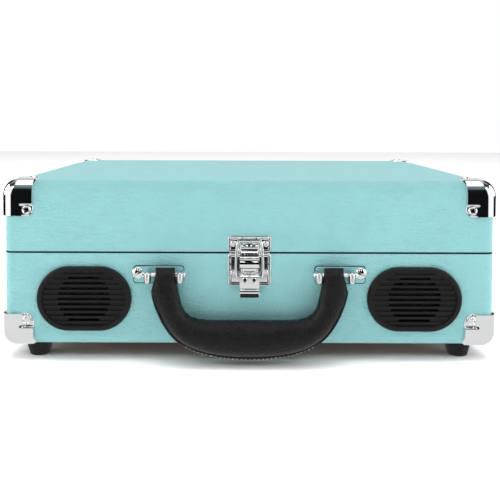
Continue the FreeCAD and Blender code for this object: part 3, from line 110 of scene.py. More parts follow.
def make_world():
    """A white studio for the camera and for soft light. Gloss sees a dark room in front, with white
    panels at both sides and a strip beside each shoulder, a ceiling that is dark in front and pale
    behind, a white wall behind and a pale floor."""
    world = bpy.data.worlds.new("studio")
    world.use_nodes = True
    tree = world.node_tree
    tree.nodes.clear()

    def add(kind, **values):
        node = tree.nodes.new(kind)
        for name, value in values.items():
            setattr(node, name, value)
        return node

    def share(output, start, stop):
        """0 to 1 as a value goes from start to stop."""
        node = add("ShaderNodeMapRange", interpolation_type="SMOOTHSTEP")
        node.inputs["From Min"].default_value = start
        node.inputs["From Max"].default_value = stop
        tree.links.new(output, node.inputs["Value"])
        return node.outputs[0]

    def math_node(operation, first, second=None):
        """One sum on one or two values."""
        node = add("ShaderNodeMath", operation=operation)
        tree.links.new(first, node.inputs[0])
        if second is not None:
            tree.links.new(second, node.inputs[1])
        return node.outputs[0]

    def blend(factor, below, above):
        """Mix two colours, each a socket or three numbers, by a factor."""
        node = add("ShaderNodeMix", data_type="RGBA")
        tree.links.new(factor, node.inputs["Factor"])
        for value, socket in ((below, node.inputs["A"]), (above, node.inputs["B"])):
            if isinstance(value, tuple):
                socket.default_value = (*value, 1)
            else:
                tree.links.new(value, socket)
        return node.outputs["Result"]

    place = add("ShaderNodeTexCoord")
    split = add("ShaderNodeSeparateXYZ")
    tree.links.new(place.outputs["Generated"], split.inputs[0])
    x, y, z = (split.outputs[name] for name in "XYZ")
    aside = math_node("ABSOLUTE", x)
    panels = math_node("MULTIPLY", share(aside, 0.43, 0.50), share(y, 0.0, -0.08))
    strips = math_node("MULTIPLY", share(aside, 0.10, 0.12), share(aside, 0.24, 0.20))
    strips = math_node("MULTIPLY", strips, share(z, 0.20, 0.25))
    room = blend(strips, (0.006, 0.007, 0.008), (2.4, 2.4, 2.4))
    room = blend(panels, room, (1.3, 1.3, 1.3))
    above = blend(share(y, -0.30, -0.16), (0.20, 0.27, 0.30), (0.03, 0.03, 0.035))
    above = blend(share(y, 0.12, 0.3), above, (0.5, 0.48, 0.46))
    room = blend(share(z, 0.46, 0.78), room, above)
    behind = math_node("MULTIPLY", share(y, 0.45, 0.65), share(z, -0.02, 0.06))
    behind = math_node("MULTIPLY", behind, share(aside, 0.50, 0.42))
    behind = math_node("MULTIPLY", behind, share(z, 0.75, 0.5))
    room = blend(behind, room, (0.85, 0.85, 0.85))
    room = blend(share(z, -0.216, -0.234), room, (0.92, 0.92, 0.92))
    gloss = add("ShaderNodeBackground")
    tree.links.new(room, gloss.inputs["Color"])
    soft = add("ShaderNodeBackground")
    soft.inputs["Color"].default_value = (1, 1, 1, 1)
    soft.inputs["Strength"].default_value = SOFT_LIGHT
    white = add("ShaderNodeBackground")
    white.inputs["Color"].default_value = (1, 1, 1, 1)
    path = add("ShaderNodeLightPath")
    lit = add("ShaderNodeMixShader")
    tree.links.new(path.outputs["Is Glossy Ray"], lit.inputs["Fac"])
    tree.links.new(soft.outputs[0], lit.inputs[1])
    tree.links.new(gloss.outputs[0], lit.inputs[2])
    seen = add("ShaderNodeMixShader")
    tree.links.new(path.outputs["Is Camera Ray"], seen.inputs["Fac"])
    tree.links.new(lit.outputs[0], seen.inputs[1])
    tree.links.new(white.outputs[0], seen.inputs[2])
    out = add("ShaderNodeOutputWorld")
    tree.links.new(seen.outputs[0], out.inputs["Surface"])
    bpy.context.scene.world = world


def make_stage():
    """The world, the panels that light the case, and two panels that light only the floor."""
    bpy.context.scene.view_settings.view_transform = "Standard"
    make_world()
    floors = bpy.data.collections.new("floors")
    floors.objects.link(make_floor(3))
    make_light("overhead", (0, 0.1, 1.3), (0, 0.1, 0), 1.4, 1.4, 7.5)
    make_light("top_front", (0, -0.45, 1.25), (0, -0.05, 0.1), 1.2, 0.4, 1.4)
    for side in (-1, 1):
        make_light("side_fill", (side * 0.9, -0.8, 0.95), (side * 0.12, -0.1, 0.08), 0.3, 0.3, 2.3)
        make_light("side_wall", (side * 1.15, 0.02, 0.42), (0, 0.02, 0.06), 0.7, 0.7, 7)
    for size, height, power in ((9, 3.5, 215), (1.6, 2.6, 34)):
        floor_light = make_light("floor_light", (0, 0, height), (0, 0, 0), size, size, power)
        floor_light.light_linking.receiver_collection = floors


# ---------------------------------------------------------------- materials

class Paint:
    """A node material with its shader, and short ways to add textures to it."""

    def __init__(self, name, **sockets):
        self.material = bpy.data.materials.new(name)
        self.material.use_nodes = True
        self.tree = self.material.node_tree
        self.shader = self.tree.nodes["Principled BSDF"]
        for socket, value in sockets.items():
            self.set(socket.replace("_", " "), value)
        self.place = self.add("ShaderNodeTexCoord").outputs["Object"]

    def set(self, socket, value):
        if isinstance(value, tuple) and len(value) == 3:
            value = (*value, 1)
        self.shader.inputs[socket].default_value = value

    def add(self, kind, **values):
        node = self.tree.nodes.new(kind)
        for name, value in values.items():
            if name in node.inputs:
                node.inputs[name].default_value = value
            else:
                setattr(node, name, value)
        return node

    def join(self, output, socket):
        self.tree.links.new(output, socket)

    def stretched(self, x=1, y=1, z=1):
        """The object's coordinates, stretched along its axes."""
        node = self.add("ShaderNodeMapping")
        node.inputs["Scale"].default_value = (x, y, z)
        self.join(self.place, node.inputs["Vector"])
        return node.outputs[0]

    def noise(self, scale, detail=3, roughness=0.55, vector=None):
        node = self.add("ShaderNodeTexNoise", Scale=scale, Detail=detail, Roughness=roughness)
        self.join(vector or self.place, node.inputs["Vector"])
        return node.outputs["Fac"]

    def cells(self, scale, feature="DISTANCE_TO_EDGE", randomness=1):
        node = self.add("ShaderNodeTexVoronoi", feature=feature, Scale=scale,
                        Randomness=randomness)
        self.join(self.place, node.inputs["Vector"])
        return node.outputs["Distance"]

    def spread(self, value, low, high, start=0.0, stop=1.0):
        """Map a value between start and stop onto low to high."""
        node = self.add("ShaderNodeMapRange")
        node.inputs["From Min"].default_value = start
        node.inputs["From Max"].default_value = stop
        node.inputs["To Min"].default_value = low
        node.inputs["To Max"].default_value = high
        self.join(value, node.inputs["Value"])
        return node.outputs[0]

    def colours(self, value, first, second, start=0.3, stop=0.7):
        """Mix two colours by a value, onto the base colour."""
        node = self.add("ShaderNodeMix", data_type="RGBA")
        node.inputs["A"].default_value = (*first, 1)
        node.inputs["B"].default_value = (*second, 1)
        self.join(self.spread(value, 0, 1, start, stop), node.inputs["Factor"])
        self.join(node.outputs["Result"], self.shader.inputs["Base Color"])

    def roughness(self, value, low, high):
        self.join(self.spread(value, low, high, 0.3, 0.7), self.shader.inputs["Roughness"])

    def bump(self, value, depth):
        """Raise the surface by the value times depth in metres; calls add up."""
        node = self.add("ShaderNodeBump", Strength=1.0, Distance=depth)
        self.join(value, node.inputs["Height"])
        normal = self.shader.inputs["Normal"]
        if normal.is_linked:
            self.join(normal.links[0].from_socket, node.inputs["Normal"])
        self.join(node.outputs[0], normal)


def paint(thing, material):
    thing.data.materials.clear()
    thing.data.materials.append(material)


def plain_floor():
    coat = Paint("floor_white", Roughness=0.7, Specular_IOR_Level=0.2)
    coat.colours(coat.noise(3), (0.88, 0.88, 0.88), (0.9, 0.9, 0.9))
    return coat.material


def leatherette():
    """Turquoise vinyl with a fine, slightly drawn pebbled grain."""
    coat = Paint("leatherette", Roughness=0.42, Specular_IOR_Level=0.45)
    grain = coat.cells(720)
    drawn = coat.noise(1, 4, 0.6, coat.stretched(170, 170, 520))
    coat.colours(coat.noise(60, 5), (0.262, 0.575, 0.595), (0.282, 0.605, 0.62))
    coat.roughness(drawn, 0.36, 0.5)
    coat.bump(coat.spread(grain, 0, 1, 0, 0.3), 0.00024)
    coat.bump(drawn, 0.0011)
    return coat.material


def chrome():
    coat = Paint("chrome", Metallic=1.0)
    coat.colours(coat.noise(40, 2), (0.74, 0.745, 0.75), (0.79, 0.795, 0.80))
    coat.roughness(coat.noise(300, 4), 0.03, 0.08)
    return coat.material


def zinc_steel():
    coat = Paint("zinc_steel", Metallic=1.0)
    coat.colours(coat.noise(200, 4), (0.42, 0.42, 0.43), (0.56, 0.56, 0.57))
    coat.roughness(coat.noise(900, 3), 0.25, 0.45)
    return coat.material


def satin_plastic(name, colour, rough, grain_scale=1600, depth=0.00003):
    """A moulded plastic with a fine sprayed texture."""
    coat = Paint(name, Specular_IOR_Level=0.2)
    dark = tuple(0.7 * part for part in colour)
    coat.colours(coat.noise(90, 3), dark, colour)
    coat.roughness(coat.noise(grain_scale / 3, 3), rough - 0.05, rough + 0.08)
    coat.bump(coat.noise(grain_scale, 2), depth)
    return coat.material


def handle_leather():
    """Black grained leatherette, with a wrinkled, shinier surface."""
    coat = Paint("handle_leather", Specular_IOR_Level=0.26)
    creases = coat.cells(460)
    folds = coat.noise(240, 5, 0.65)
    coat.colours(coat.noise(150, 5), (0.0015, 0.0014, 0.0014), (0.0035, 0.003, 0.003))
    coat.roughness(coat.noise(300, 4), 0.27, 0.36)
    coat.bump(coat.spread(creases, 0, 1, 0, 0.25), 0.0002)
    coat.bump(folds, 0.0004)
    return coat.material


def rubber(name):
    coat = Paint(name, Specular_IOR_Level=0.2)
    coat.colours(coat.noise(200, 4), (0.006, 0.006, 0.007), (0.012, 0.012, 0.013))
    coat.roughness(coat.noise(500, 3), 0.5, 0.7)
    coat.bump(coat.noise(1500, 3), 0.00004)
    return coat.material


def fibreboard():
    coat = Paint("fibreboard")
    fibres = coat.noise(700, 6, 0.7)
    coat.colours(fibres, (0.30, 0.20, 0.11), (0.46, 0.33, 0.20))
    coat.roughness(fibres, 0.75, 0.92)
    coat.bump(fibres, 0.0001)
    return coat.material


def hardboard():
    coat = Paint("hardboard")
    mesh = coat.cells(600, "F1", 0.2)
    coat.colours(coat.noise(120, 6), (0.06, 0.035, 0.02), (0.11, 0.07, 0.04))
    coat.roughness(coat.noise(300), 0.6, 0.8)
    coat.bump(mesh, 0.00015)
    return coat.material


def cloth(name, dark, light, scale=1500):
    """A short, dense flocked or felted surface."""
    coat = Paint(name, Sheen_Weight=0.4, Sheen_Roughness=0.5)
    fluff = coat.noise(scale, 5, 0.75)
    coat.colours(fluff, dark, light)
    coat.roughness(fluff, 0.85, 0.97)
    coat.bump(fluff, 0.00015)
    return coat.material


def brushed(name, dark, light, along="y", low=0.18, high=0.32):
    """Bare metal with fine marks along one axis."""
    coat = Paint(name, Metallic=1.0)
    stretch = {"x": (30, 900, 900), "y": (900, 30, 900), "z": (900, 900, 30)}[along]
    marks = coat.noise(1, 4, 0.6, coat.stretched(*stretch))
    coat.colours(marks, dark, light)
    coat.roughness(marks, low, high)
    coat.bump(marks, 0.00001)
    return coat.material


def circuit_board():
    coat = Paint("circuit_board")
    tracks = coat.cells(420, "F1", 0.0)
    coat.colours(tracks, (0.012, 0.10, 0.035), (0.02, 0.17, 0.06), 0.2, 0.45)
    coat.roughness(coat.noise(200), 0.28, 0.42)
    coat.bump(tracks, 0.00005)
    return coat.material


def red_plastic(name):
    coat = Paint(name, Coat_Weight=0.4)
    coat.colours(coat.noise(120, 3), (0.45, 0.012, 0.012), (0.55, 0.02, 0.018))
    coat.roughness(coat.noise(700), 0.18, 0.3)
    return coat.material


SURFACES = {
    "floor": plain_floor(),
    "leatherette": leatherette(),
    "fibreboard": fibreboard(),
    "hardboard": hardboard(),
    "lining_cloth": cloth("lining_cloth", (0.008, 0.008, 0.009), (0.02, 0.02, 0.022)),
    "chrome": chrome(),
    "zinc_steel": zinc_steel(),
    "grille_plastic": satin_plastic("grille_plastic", (0.011, 0.011, 0.012), 0.38),
    "speaker_steel": satin_plastic("speaker_steel", (0.03, 0.03, 0.03), 0.4),
    "paper_cone": cloth("paper_cone", (0.010, 0.010, 0.010), (0.022, 0.021, 0.020), 800),
    "handle_leather": handle_leather(),
    "handle_thread": cloth("handle_thread", (0.55, 0.55, 0.55), (0.8, 0.8, 0.8), 2500),
    "foot_rubber": rubber("foot_rubber"),
    "belt_rubber": rubber("belt_rubber"),
    "deck_plastic": satin_plastic("deck_plastic", (0.022, 0.022, 0.023), 0.45, 1200, 0.00006),
    "black_plastic": satin_plastic("black_plastic", (0.014, 0.014, 0.015), 0.24, 900, 0.00001),
    "platter_plastic": satin_plastic("platter_plastic", (0.025, 0.025, 0.026), 0.4),
    "mat_felt": cloth("mat_felt", (0.010, 0.010, 0.011), (0.028, 0.028, 0.030), 1100),
    "polished_steel": brushed("polished_steel", (0.62, 0.62, 0.63), (0.76, 0.76, 0.77), "z",
                              0.08, 0.18),
    "bush_brass": brushed("bush_brass", (0.55, 0.38, 0.14), (0.72, 0.53, 0.24), "z"),
    "arm_aluminium": brushed("arm_aluminium", (0.55, 0.55, 0.57), (0.68, 0.68, 0.70), "y"),
    "cartridge_red": red_plastic("cartridge_red"),
    "adapter_plastic": satin_plastic("adapter_plastic", (0.02, 0.02, 0.02), 0.3),
    "lamp_plastic": red_plastic("lamp_plastic"),
    "circuit_board": circuit_board(),
}


# ---------------------------------------------------------------- building meshes


def rig(thing, body, slot_name, replaced=()):
    """Link a new piece, paint it and say what it rides on and stands for."""
    bpy.context.scene.collection.objects.link(thing)
    paint(thing, SURFACES[slot_name])
    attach(thing, body)
    if replaced:
        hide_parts(*replaced)
    return thing


def clamp(value, low=0.0, high=1.0):
    return max(low, min(high, value))


def smooth(value):
    """An S-curve from 0 to 1."""
    value = clamp(value)
    return value * value * (3 - 2 * value)


# For each way a fitting can face: its own right, up and outward directions.
AXES = {
    "-Y": (Vector((1, 0, 0)), Vector((0, 0, 1)), Vector((0, -1, 0))),
    "+Y": (Vector((-1, 0, 0)), Vector((0, 0, 1)), Vector((0, 1, 0))),
    "+X": (Vector((0, 1, 0)), Vector((0, 0, 1)), Vector((1, 0, 0))),
    "-X": (Vector((0, -1, 0)), Vector((0, 0, 1)), Vector((-1, 0, 0))),
    "+Z": (Vector((1, 0, 0)), Vector((0, 1, 0)), Vector((0, 0, 1))),
}


class Build:
    """Collects closed surfaces, given in millimetres, into one mesh."""

    def __init__(self):
        self.verts = []
        self.faces = []

    def add(self, verts, faces):
        start = len(self.verts)
        self.verts += [Vector(vert) for vert in verts]
        self.faces += [tuple(start + index for index in face) for face in faces]

    def loft(self, rings, closed=False):
        """Join rings of points, all of one length; open lofts get a flat cap at each end."""
        count = len(rings[0])
        verts = [point for ring in rings for point in ring]
        faces = []
        for index in range(len(rings) if closed else len(rings) - 1):
            here = index * count
            there = (index + 1) % len(rings) * count
            for corner in range(count):
                beyond = (corner + 1) % count
                faces.append((here + corner, here + beyond, there + beyond, there + corner))
        if not closed:
            faces.append(tuple(range(count)))
            faces.append(tuple(reversed(range(len(verts) - count, len(verts)))))
        self.add(verts, faces)

    def turn(self, place, aim, outline, count=40):
        """Turn (radius, height) pairs about an axis from a point."""
        across, up, out = AXES[aim]
        rings = []
        for radius, height in held(outline):
            ring = []
            for index in range(count):
                angle = math.tau * index / count
                ring.append(Vector(place) + across * (radius * math.cos(angle))
                            + up * (radius * math.sin(angle)) + out * height)
            rings.append(ring)
        self.loft(rings)

    def tube(self, path, radius, count):
        """A round wire along a path."""
        rings = []
        normal = None
        last = len(path) - 1
        for index, point in enumerate(path):
            ahead = (path[min(index + 1, last)] - path[max(index - 1, 0)]).normalized()
            if normal is None:
                normal = ahead.orthogonal().normalized()
            normal = (normal - ahead * normal.dot(ahead)).normalized()
            side = ahead.cross(normal)
            rings.append([point + (normal * math.cos(math.tau * step / count)
                                   + side * math.sin(math.tau * step / count)) * radius
                          for step in range(count)])
        self.loft(rings)

    def plate(self, centre, aim, half_width, half_height, corner, levels):
        """A rounded plate; levels hold (inset, height) pairs from its back to its front."""
        across, up, out = AXES[aim]
        rings = []
        last_inset, last_height = levels[-1]
        for inset, height in held(levels + [(last_inset + 0.5, last_height)]):
            outline = rounded_rectangle(half_width - inset, half_height - inset,
                                        max(corner - inset, 0.05))
            rings.append([Vector(centre) + across * u + up * v + out * height
                          for u, v in outline])
        self.loft(rings)

    def profile(self, outline, across_low, across_high, bevel=0.0):
        """Extrude (y, z) points along X, with a small bevel at both ends."""
        outline = held_round(outline, 0.3)
        middle_y = sum(y for y, z in outline) / len(outline)
        middle_z = sum(z for y, z in outline) / len(outline)
        reach = max(math.hypot(y - middle_y, z - middle_z) for y, z in outline)
        shrink = 1 - bevel / reach
        rings = []
        for x, scale in ((across_low, shrink), (across_low + bevel, 1),
                         (across_high - bevel, 1), (across_high, shrink)):
            rings.append([Vector((x, middle_y + (y - middle_y) * scale,
                                  middle_z + (z - middle_z) * scale)) for y, z in outline])
        self.loft(rings)

    def done(self, name, body, slot_name, replaced=(), sharp=32):
        """Make the piece; edges sharper than the given angle stay crisp."""
        mesh = bpy.data.meshes.new(name)
        mesh.from_pydata([vert * MM for vert in self.verts], [], self.faces)
        shape = bmesh.new()
        shape.from_mesh(mesh)
        bmesh.ops.remove_doubles(shape, verts=shape.verts, dist=1e-7)
        bmesh.ops.recalc_face_normals(shape, faces=shape.faces)
        shape.to_mesh(mesh)
        shape.free()
        for polygon in mesh.polygons:
            polygon.use_smooth = True
        mesh.set_sharp_from_angle(angle=math.radians(sharp))
        return rig(bpy.data.objects.new(name, mesh), body, slot_name, replaced)


def held(points, reach=0.12):
    """Add points close to each bend of a profile, so that its flats shade flat."""
    out = [points[0]]
    for (a, b), (c, d) in zip(points, points[1:]):
        length = math.hypot(c - a, d - b)
        if length > 4 * reach:
            for share in (reach / length, 1 - reach / length):
                out.append((a + (c - a) * share, b + (d - b) * share))
        out.append((c, d))
    return out


def held_round(points, radius):
    """Round the corners between a closed outline's longer sides slightly and hold its flats."""
    shortest = 0.9
    out = []
    count = len(points)
    for index in range(count):
        corner = Vector(points[index])
        back = Vector(points[index - 1]) - corner
        ahead = Vector(points[(index + 1) % count]) - corner
        if back.length < shortest or ahead.length < shortest:
            out.append(tuple(corner))
            continue
        start = corner + back.normalized() * radius
        stop = corner + ahead.normalized() * radius
        out.append(tuple(corner + back.normalized() * (radius + 0.1)))
        for share in (0.0, 0.25, 0.5, 0.75, 1.0):
            out.append(tuple(start.lerp(corner, share).lerp(corner.lerp(stop, share), share)))
        out.append(tuple(corner + ahead.normalized() * (radius + 0.1)))
    return out


def rounded_rectangle(half_width, half_height, corner, steps=6):
    """Points round a rectangle with round corners, about its middle."""
    points = []
    for turn, (across, up) in enumerate(((1, 1), (-1, 1), (-1, -1), (1, -1))):
        for step in range(steps + 1):
            angle = math.pi / 2 * (turn + step / steps)
            points.append((across * (half_width - corner) + corner * math.cos(angle),
                           up * (half_height - corner) + corner * math.sin(angle)))
    return points


def round_path(points, radius, steps):
    """A path through the points with its corners rounded."""
    points = [Vector(point) for point in points]
    path = [points[0]]
    for before, corner, after in zip(points, points[1:], points[2:]):
        back = before - corner
        ahead = after - corner
        reach = min(radius, back.length / 2, ahead.length / 2)
        start = corner + back.normalized() * reach
        stop = corner + ahead.normalized() * reach
        for step in range(steps + 1):
            share = step / steps
            path.append(start.lerp(corner, share).lerp(corner.lerp(stop, share), share))
    path.append(points[-1])
    return path


def between(values, place):
    """Read a list of (position, value) pairs at a position, with straight steps."""
    for (start, low), (stop, high) in zip(values, values[1:]):
        if place <= stop:
            return low + (high - low) * clamp((place - start) / (stop - start))
    return values[-1][1]


# The case's faces and fittings, in millimetres.
SIDE_MM = SIDE / MM
FRONT_MM = FRONT / MM
BACK_MM = BACK / MM
TOP_MM = TOP / MM
BASE_MM = BASE_LOW / MM
SEAM_MM = SEAM / MM
MIDDLE_MM = (FRONT_MM + BACK_MM) / 2

JOINTS = {joint["name"]: joint for joint in frame["joints"]}
PIN_Y = JOINTS["handle_swing"]["pos_m"][1] / MM
PIN_Z = JOINTS["handle_swing"]["pos_m"][2] / MM
LATCH_Z = JOINTS["latch_throw"]["pos_m"][2] / MM
WIRE_Z = JOINTS["bail_swing"]["pos_m"][2] / MM
HINGE_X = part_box("hinge_pins")[1].x / MM - 16.8
GUARD_DROP = (lid_high.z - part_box("lid_corners")[0].z) / MM
GUARD_RISE = (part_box("base_corners")[1].z - base_low.z) / MM
UPRIGHT = 6.5
GUARD_SCREW_IN = 17.0
LID_SCREW_Z = 110.7
BASE_SCREW_Z = 29.6
HINGE_SCREW_X = 11
HINGE_SCREW_Z = 14
RIVET_X = 11.8
RIVET_LOW = 65.2
RIVET_HIGH = 86.5
DOME_X = 81.3
DOME_Z = 64.9

# Screw heads as radius, rise, recess and mesh cells.
GUARD_HEAD = (3.5, 1.2, "cross", 18)
HINGE_HEAD = (2.6, 0.8, "cross", 14)
RIVET_HEAD = (2.4, 1.2, "rivet", 14)
DOME_HEAD = (4.7, 2.6, "slot", 24)


# ---------------------------------------------------------------- screws and rivets

def screw_head(build, place, aim, head):
    """A domed head with a cross or a slot pressed into it, or a rivet's dimpled head."""
    radius, rise, recess, cells = head
    across, up, out = AXES[aim]
    place = Vector(place)
    turn = 0.35 + place.x * 0.13 + place.z * 0.07
    verts = []
    for row in range(cells + 1):
        for column in range(cells + 1):
            s = 2 * column / cells - 1
            t = 2 * row / cells - 1
            u = s * math.sqrt(1 - t * t / 2)
            v = t * math.sqrt(1 - s * s / 2)
            distance = math.hypot(u, v)
            height = rise * math.sqrt(max(1 - distance ** 2.6, 0)) ** 0.9
            if recess == "cross":
                ring = clamp((distance - 0.56) / 0.44)
                height = rise * 0.3
                if ring:
                    height = rise * (0.35 + 0.65 * math.sin(math.pi * ring ** 0.75))
                if min(abs(s), abs(t)) < 0.12 and max(abs(s), abs(t)) < 0.46:
                    height = -rise * 1.1
                height *= math.sqrt(max(1 - distance ** 9, 0))
            elif recess == "slot":
                if abs(t) < 0.085:
                    height -= rise * 0.42 * (1 - distance ** 6)
            elif distance < 0.42:
                height = rise * (0.62 + 0.38 * (distance / 0.42) ** 2)
            x = (u * math.cos(turn) - v * math.sin(turn)) * radius
            y = (u * math.sin(turn) + v * math.cos(turn)) * radius
            verts.append(place + across * x + up * y + out * height)
    width = cells + 1
    faces = [(row * width + column, row * width + column + 1,
              (row + 1) * width + column + 1, (row + 1) * width + column)
             for row in range(cells) for column in range(cells)]
    border = (list(range(cells))
              + [row * width + cells for row in range(cells)]
              + [cells * width + cells - column for column in range(cells)]
              + [(cells - row) * width for row in range(cells)])
    start = len(verts)
    verts += [verts[index] - out * 0.4 for index in border]
    count = len(border)
    for index in range(count):
        beyond = (index + 1) % count
        faces.append((border[index], border[beyond], start + beyond, start + index))
    faces.append(tuple(start + index for index in range(count)))
    build.add(verts, faces)


def corner_screws(build, height, with_top):
    """The screws of the four guards of one half, on the upright faces and perhaps on top."""
    proud = 0.85
    for side, aim in ((-1, "-X"), (1, "+X")):
        for face_y, inward, out_aim in ((FRONT_MM, 1, "-Y"), (BACK_MM, -1, "+Y")):
            across = side * (SIDE_MM - GUARD_SCREW_IN)
            deep = face_y + inward * GUARD_SCREW_IN
            screw_head(build, (across, face_y - inward * proud, height), out_aim, GUARD_HEAD)
            screw_head(build, (side * (SIDE_MM + proud), deep, height), aim, GUARD_HEAD)
            if with_top:
                screw_head(build, (across, deep, TOP_MM + proud), "+Z", GUARD_HEAD)


def hinge_screws(build, height):
    for middle in (-HINGE_X, HINGE_X):
        for shift in (-HINGE_SCREW_X, HINGE_SCREW_X):
            screw_head(build, (middle + shift, BACK_MM + 1.2, height), "+Y", HINGE_HEAD)


def make_screws():
    lid = Build()
    corner_screws(lid, LID_SCREW_Z, True)
    hinge_screws(lid, SEAM_MM + HINGE_SCREW_Z)
    for side in (-1, 1):
        screw_head(lid, (side * RIVET_X, FRONT_MM - 1.1, RIVET_HIGH), "-Y", RIVET_HEAD)
    lid.done("lid_screw_heads", "lid", "chrome", ("lid_screws",))
    base = Build()
    corner_screws(base, BASE_SCREW_Z, False)
    base.done("base_screw_heads", "case", "chrome", ("base_corner_screws",))
    fittings = Build()
    hinge_screws(fittings, SEAM_MM - HINGE_SCREW_Z)
    for side in (-1, 1):
        screw_head(fittings, (side * RIVET_X, FRONT_MM - 1.1, RIVET_LOW), "-Y", RIVET_HEAD)
        screw_head(fittings, (side * DOME_X, FRONT_MM - 0.8, DOME_Z), "-Y", DOME_HEAD)
    fittings.done("fitting_screw_heads", "case", "chrome", ("base_hardware_screws",))


def make_seam_shade_strip():
    """A black strip round the base's rim, in the gap between the two halves: painted shade that shows as the dark
    line between them.
    """
    strip = Build()
    half_depth = (BACK_MM - FRONT_MM) / 2
    outside, inside = -0.05, 1.6
    low, high = -0.95, 0.35
    rings = []
    for inset, height in ((outside, low), (outside, high), (inside, high), (inside, low)):
        outline = rounded_rectangle(SIDE_MM - inset, half_depth - inset, UPRIGHT - inset, 12)
        rings.append([Vector((x, MIDDLE_MM + y, SEAM_MM + height)) for x, y in outline])
    strip.loft(rings, True)
    # painted shade: black rubber in the seam gap stands in for the shadow inside it
    strip.done("seam_shade_strip", "case", "foot_rubber", (), 40)


# ---------------------------------------------------------------- chrome corner guards

# A guard is shaped on a sharp corner, then carried to the rounded one from a core this deep.
CORE = 12.0
GUARD_WIDTH = 22
LID_EDGE = 10
BASE_EDGE = 8.6


def depth_inside(a, b, c, upright, edge):
    """How deep a point lies inside the case's rounded corner, from its depths below the faces."""
    side = upright + max(edge - upright, 0) * clamp(1 - c / edge)
    wall = min(a, b)
    if a < side and b < side:
        wall = side - math.hypot(side - a, side - b)
    if wall < edge and c < edge:
        return edge - math.hypot(edge - wall, edge - c)
    return min(wall, c)


def skin_point(point, lift, upright, edge):
    """Move a point of the sharp corner to the rounded one, lifted off its surface."""
    halvings = 26
    core = Vector([max(value, CORE) for value in point])
    way = (Vector(point) - core).normalized()
    near, far = 0.0, 3 * CORE
    for _ in range(halvings):
        middle = (near + far) / 2
        if depth_inside(*(core + way * middle), upright, edge) > -lift:
            near = middle
        else:
            far = middle
    return core + way * near


def spread_steps(length, breaks, count):
    """Even steps along a length, with extra ones close together at each break."""
    values = {round(length * index / count, 4) for index in range(count + 1)}
    for place in breaks:
        for shift in (-0.45, 0.0, 0.45, 0.9):
            if 0 < place + shift < length:
                values = {v for v in values if abs(v - place - shift) > 0.3 or v in (0, length)}
                values.add(round(place + shift, 4))
    return sorted(values)


def round_off(u, v, u_high, v_high, corner):
    """Round the far corner of a face's region."""
    s = (u - u_high + corner) / corner
    t = (v - v_high + corner) / corner
    if s <= 0 or t <= 0:
        return u, v
    return (u_high - corner + corner * s * math.sqrt(1 - t * t / 2),
            v_high - corner + corner * t * math.sqrt(1 - s * s / 2))


def guard_mesh(width, height, upright, edge, pocket, bulge, flat_bulge, lip):
    """One guard for the corner where the depths are zero: its vertices, in depths, and faces.
    upright and edge are the case's roundings; bulge lifts the guard off it, flat_bulge on the flat
    face. pocket holds where the screw's pocket starts along the upright face, down it, and on the
    flat face (or None); lip cuts the flat face back to an L."""
    nowhere = 99
    start, drop, flat_start = pocket
    verts = []
    index_of = {}
    faces = []
    heights = []

    def vertex(point, lift):
        key = tuple(round(value, 3) for value in point)
        if key not in index_of:
            index_of[key] = len(verts)
            verts.append(point)
            heights.append(lift)
        return index_of[key]

    def lift_at(u, v, rim, pocket_u, pocket_v, swell):
        out = swell * (1 - smooth((u - pocket_u) / 4.5) * smooth((v - pocket_v) / 0.9))
        fold = math.sqrt(1 - (1 - clamp(rim / 0.7)) ** 2)
        return 0.1 + (0.75 + out) * fold

    walls = spread_steps(width, [start], 26)
    drops = spread_steps(height, [drop], 30)
    patches = (("front", walls, drops), ("side", walls, drops), ("flat", walls, walls))
    for kind, across, down in patches:
        table = []
        for v in down:
            row = []
            for u in across:
                far = width if kind == "flat" else height
                ru, rv = round_off(u, v, width, far, 6.0)
                if kind == "flat":
                    rim = min(width - u, width - v)
                    if lip:
                        rim = min(rim, max(lip - u, lip - v))
                    pocket_at = flat_start or nowhere
                    swell = bulge + (flat_bulge - bulge) * smooth(min(u, v) / 8)
                    lift = lift_at(u, v, rim, pocket_at, pocket_at, swell)
                    point = (ru, rv, 0.0)
                else:
                    rim = min(width - u, height - v)
                    lift = lift_at(u, v, rim, start, drop, bulge)
                    slant = 1 + (0.05 if lip else 0) * (1 - v / height)
                    point = (ru * slant, 0.0, rv) if kind == "front" else (0.0, ru * slant, rv)
                row.append(vertex(point, lift))
            table.append(row)
        for i in range(len(down) - 1):
            for j in range(len(across) - 1):
                if kind == "flat" and lip and across[j] >= lip - 0.01 and down[i] >= lip - 0.01:
                    continue
                faces.append((table[i][j], table[i][j + 1], table[i + 1][j + 1], table[i + 1][j]))
    outer = [skin_point(p, lift, upright, edge) for p, lift in zip(verts, heights)]
    inner = [skin_point(p, 0.03, upright, edge) for p in verts]
    used = {index for face in faces for index in face}
    count = len(verts)
    edges = {}
    for face in faces:
        for first, second in zip(face, face[1:] + face[:1]):
            key = (min(first, second), max(first, second))
            edges.setdefault(key, []).append((first, second))
    rims = [pair[0] for pair in edges.values() if len(pair) == 1]
    back = [tuple(count + index for index in reversed(face)) for face in faces]
    sides = [(second, first, count + first, count + second) for first, second in rims]
    keep = sorted(used | {count + index for index in used})
    new_index = {old: new for new, old in enumerate(keep)}
    points = outer + inner
    return ([points[old] for old in keep],
            [tuple(new_index[index] for index in face) for face in faces + back + sides])


def place_guards(build, shape, level, up):
    """Put one guard's shape at all four corners; level is the flat face's height."""
    verts, faces = shape
    for side in (-1, 1):
        for face_y, inward in ((FRONT_MM, 1), (BACK_MM, -1)):
            build.add([(side * (SIDE_MM - a), face_y + inward * b, level + up * c)
                       for a, b, c in verts], faces)


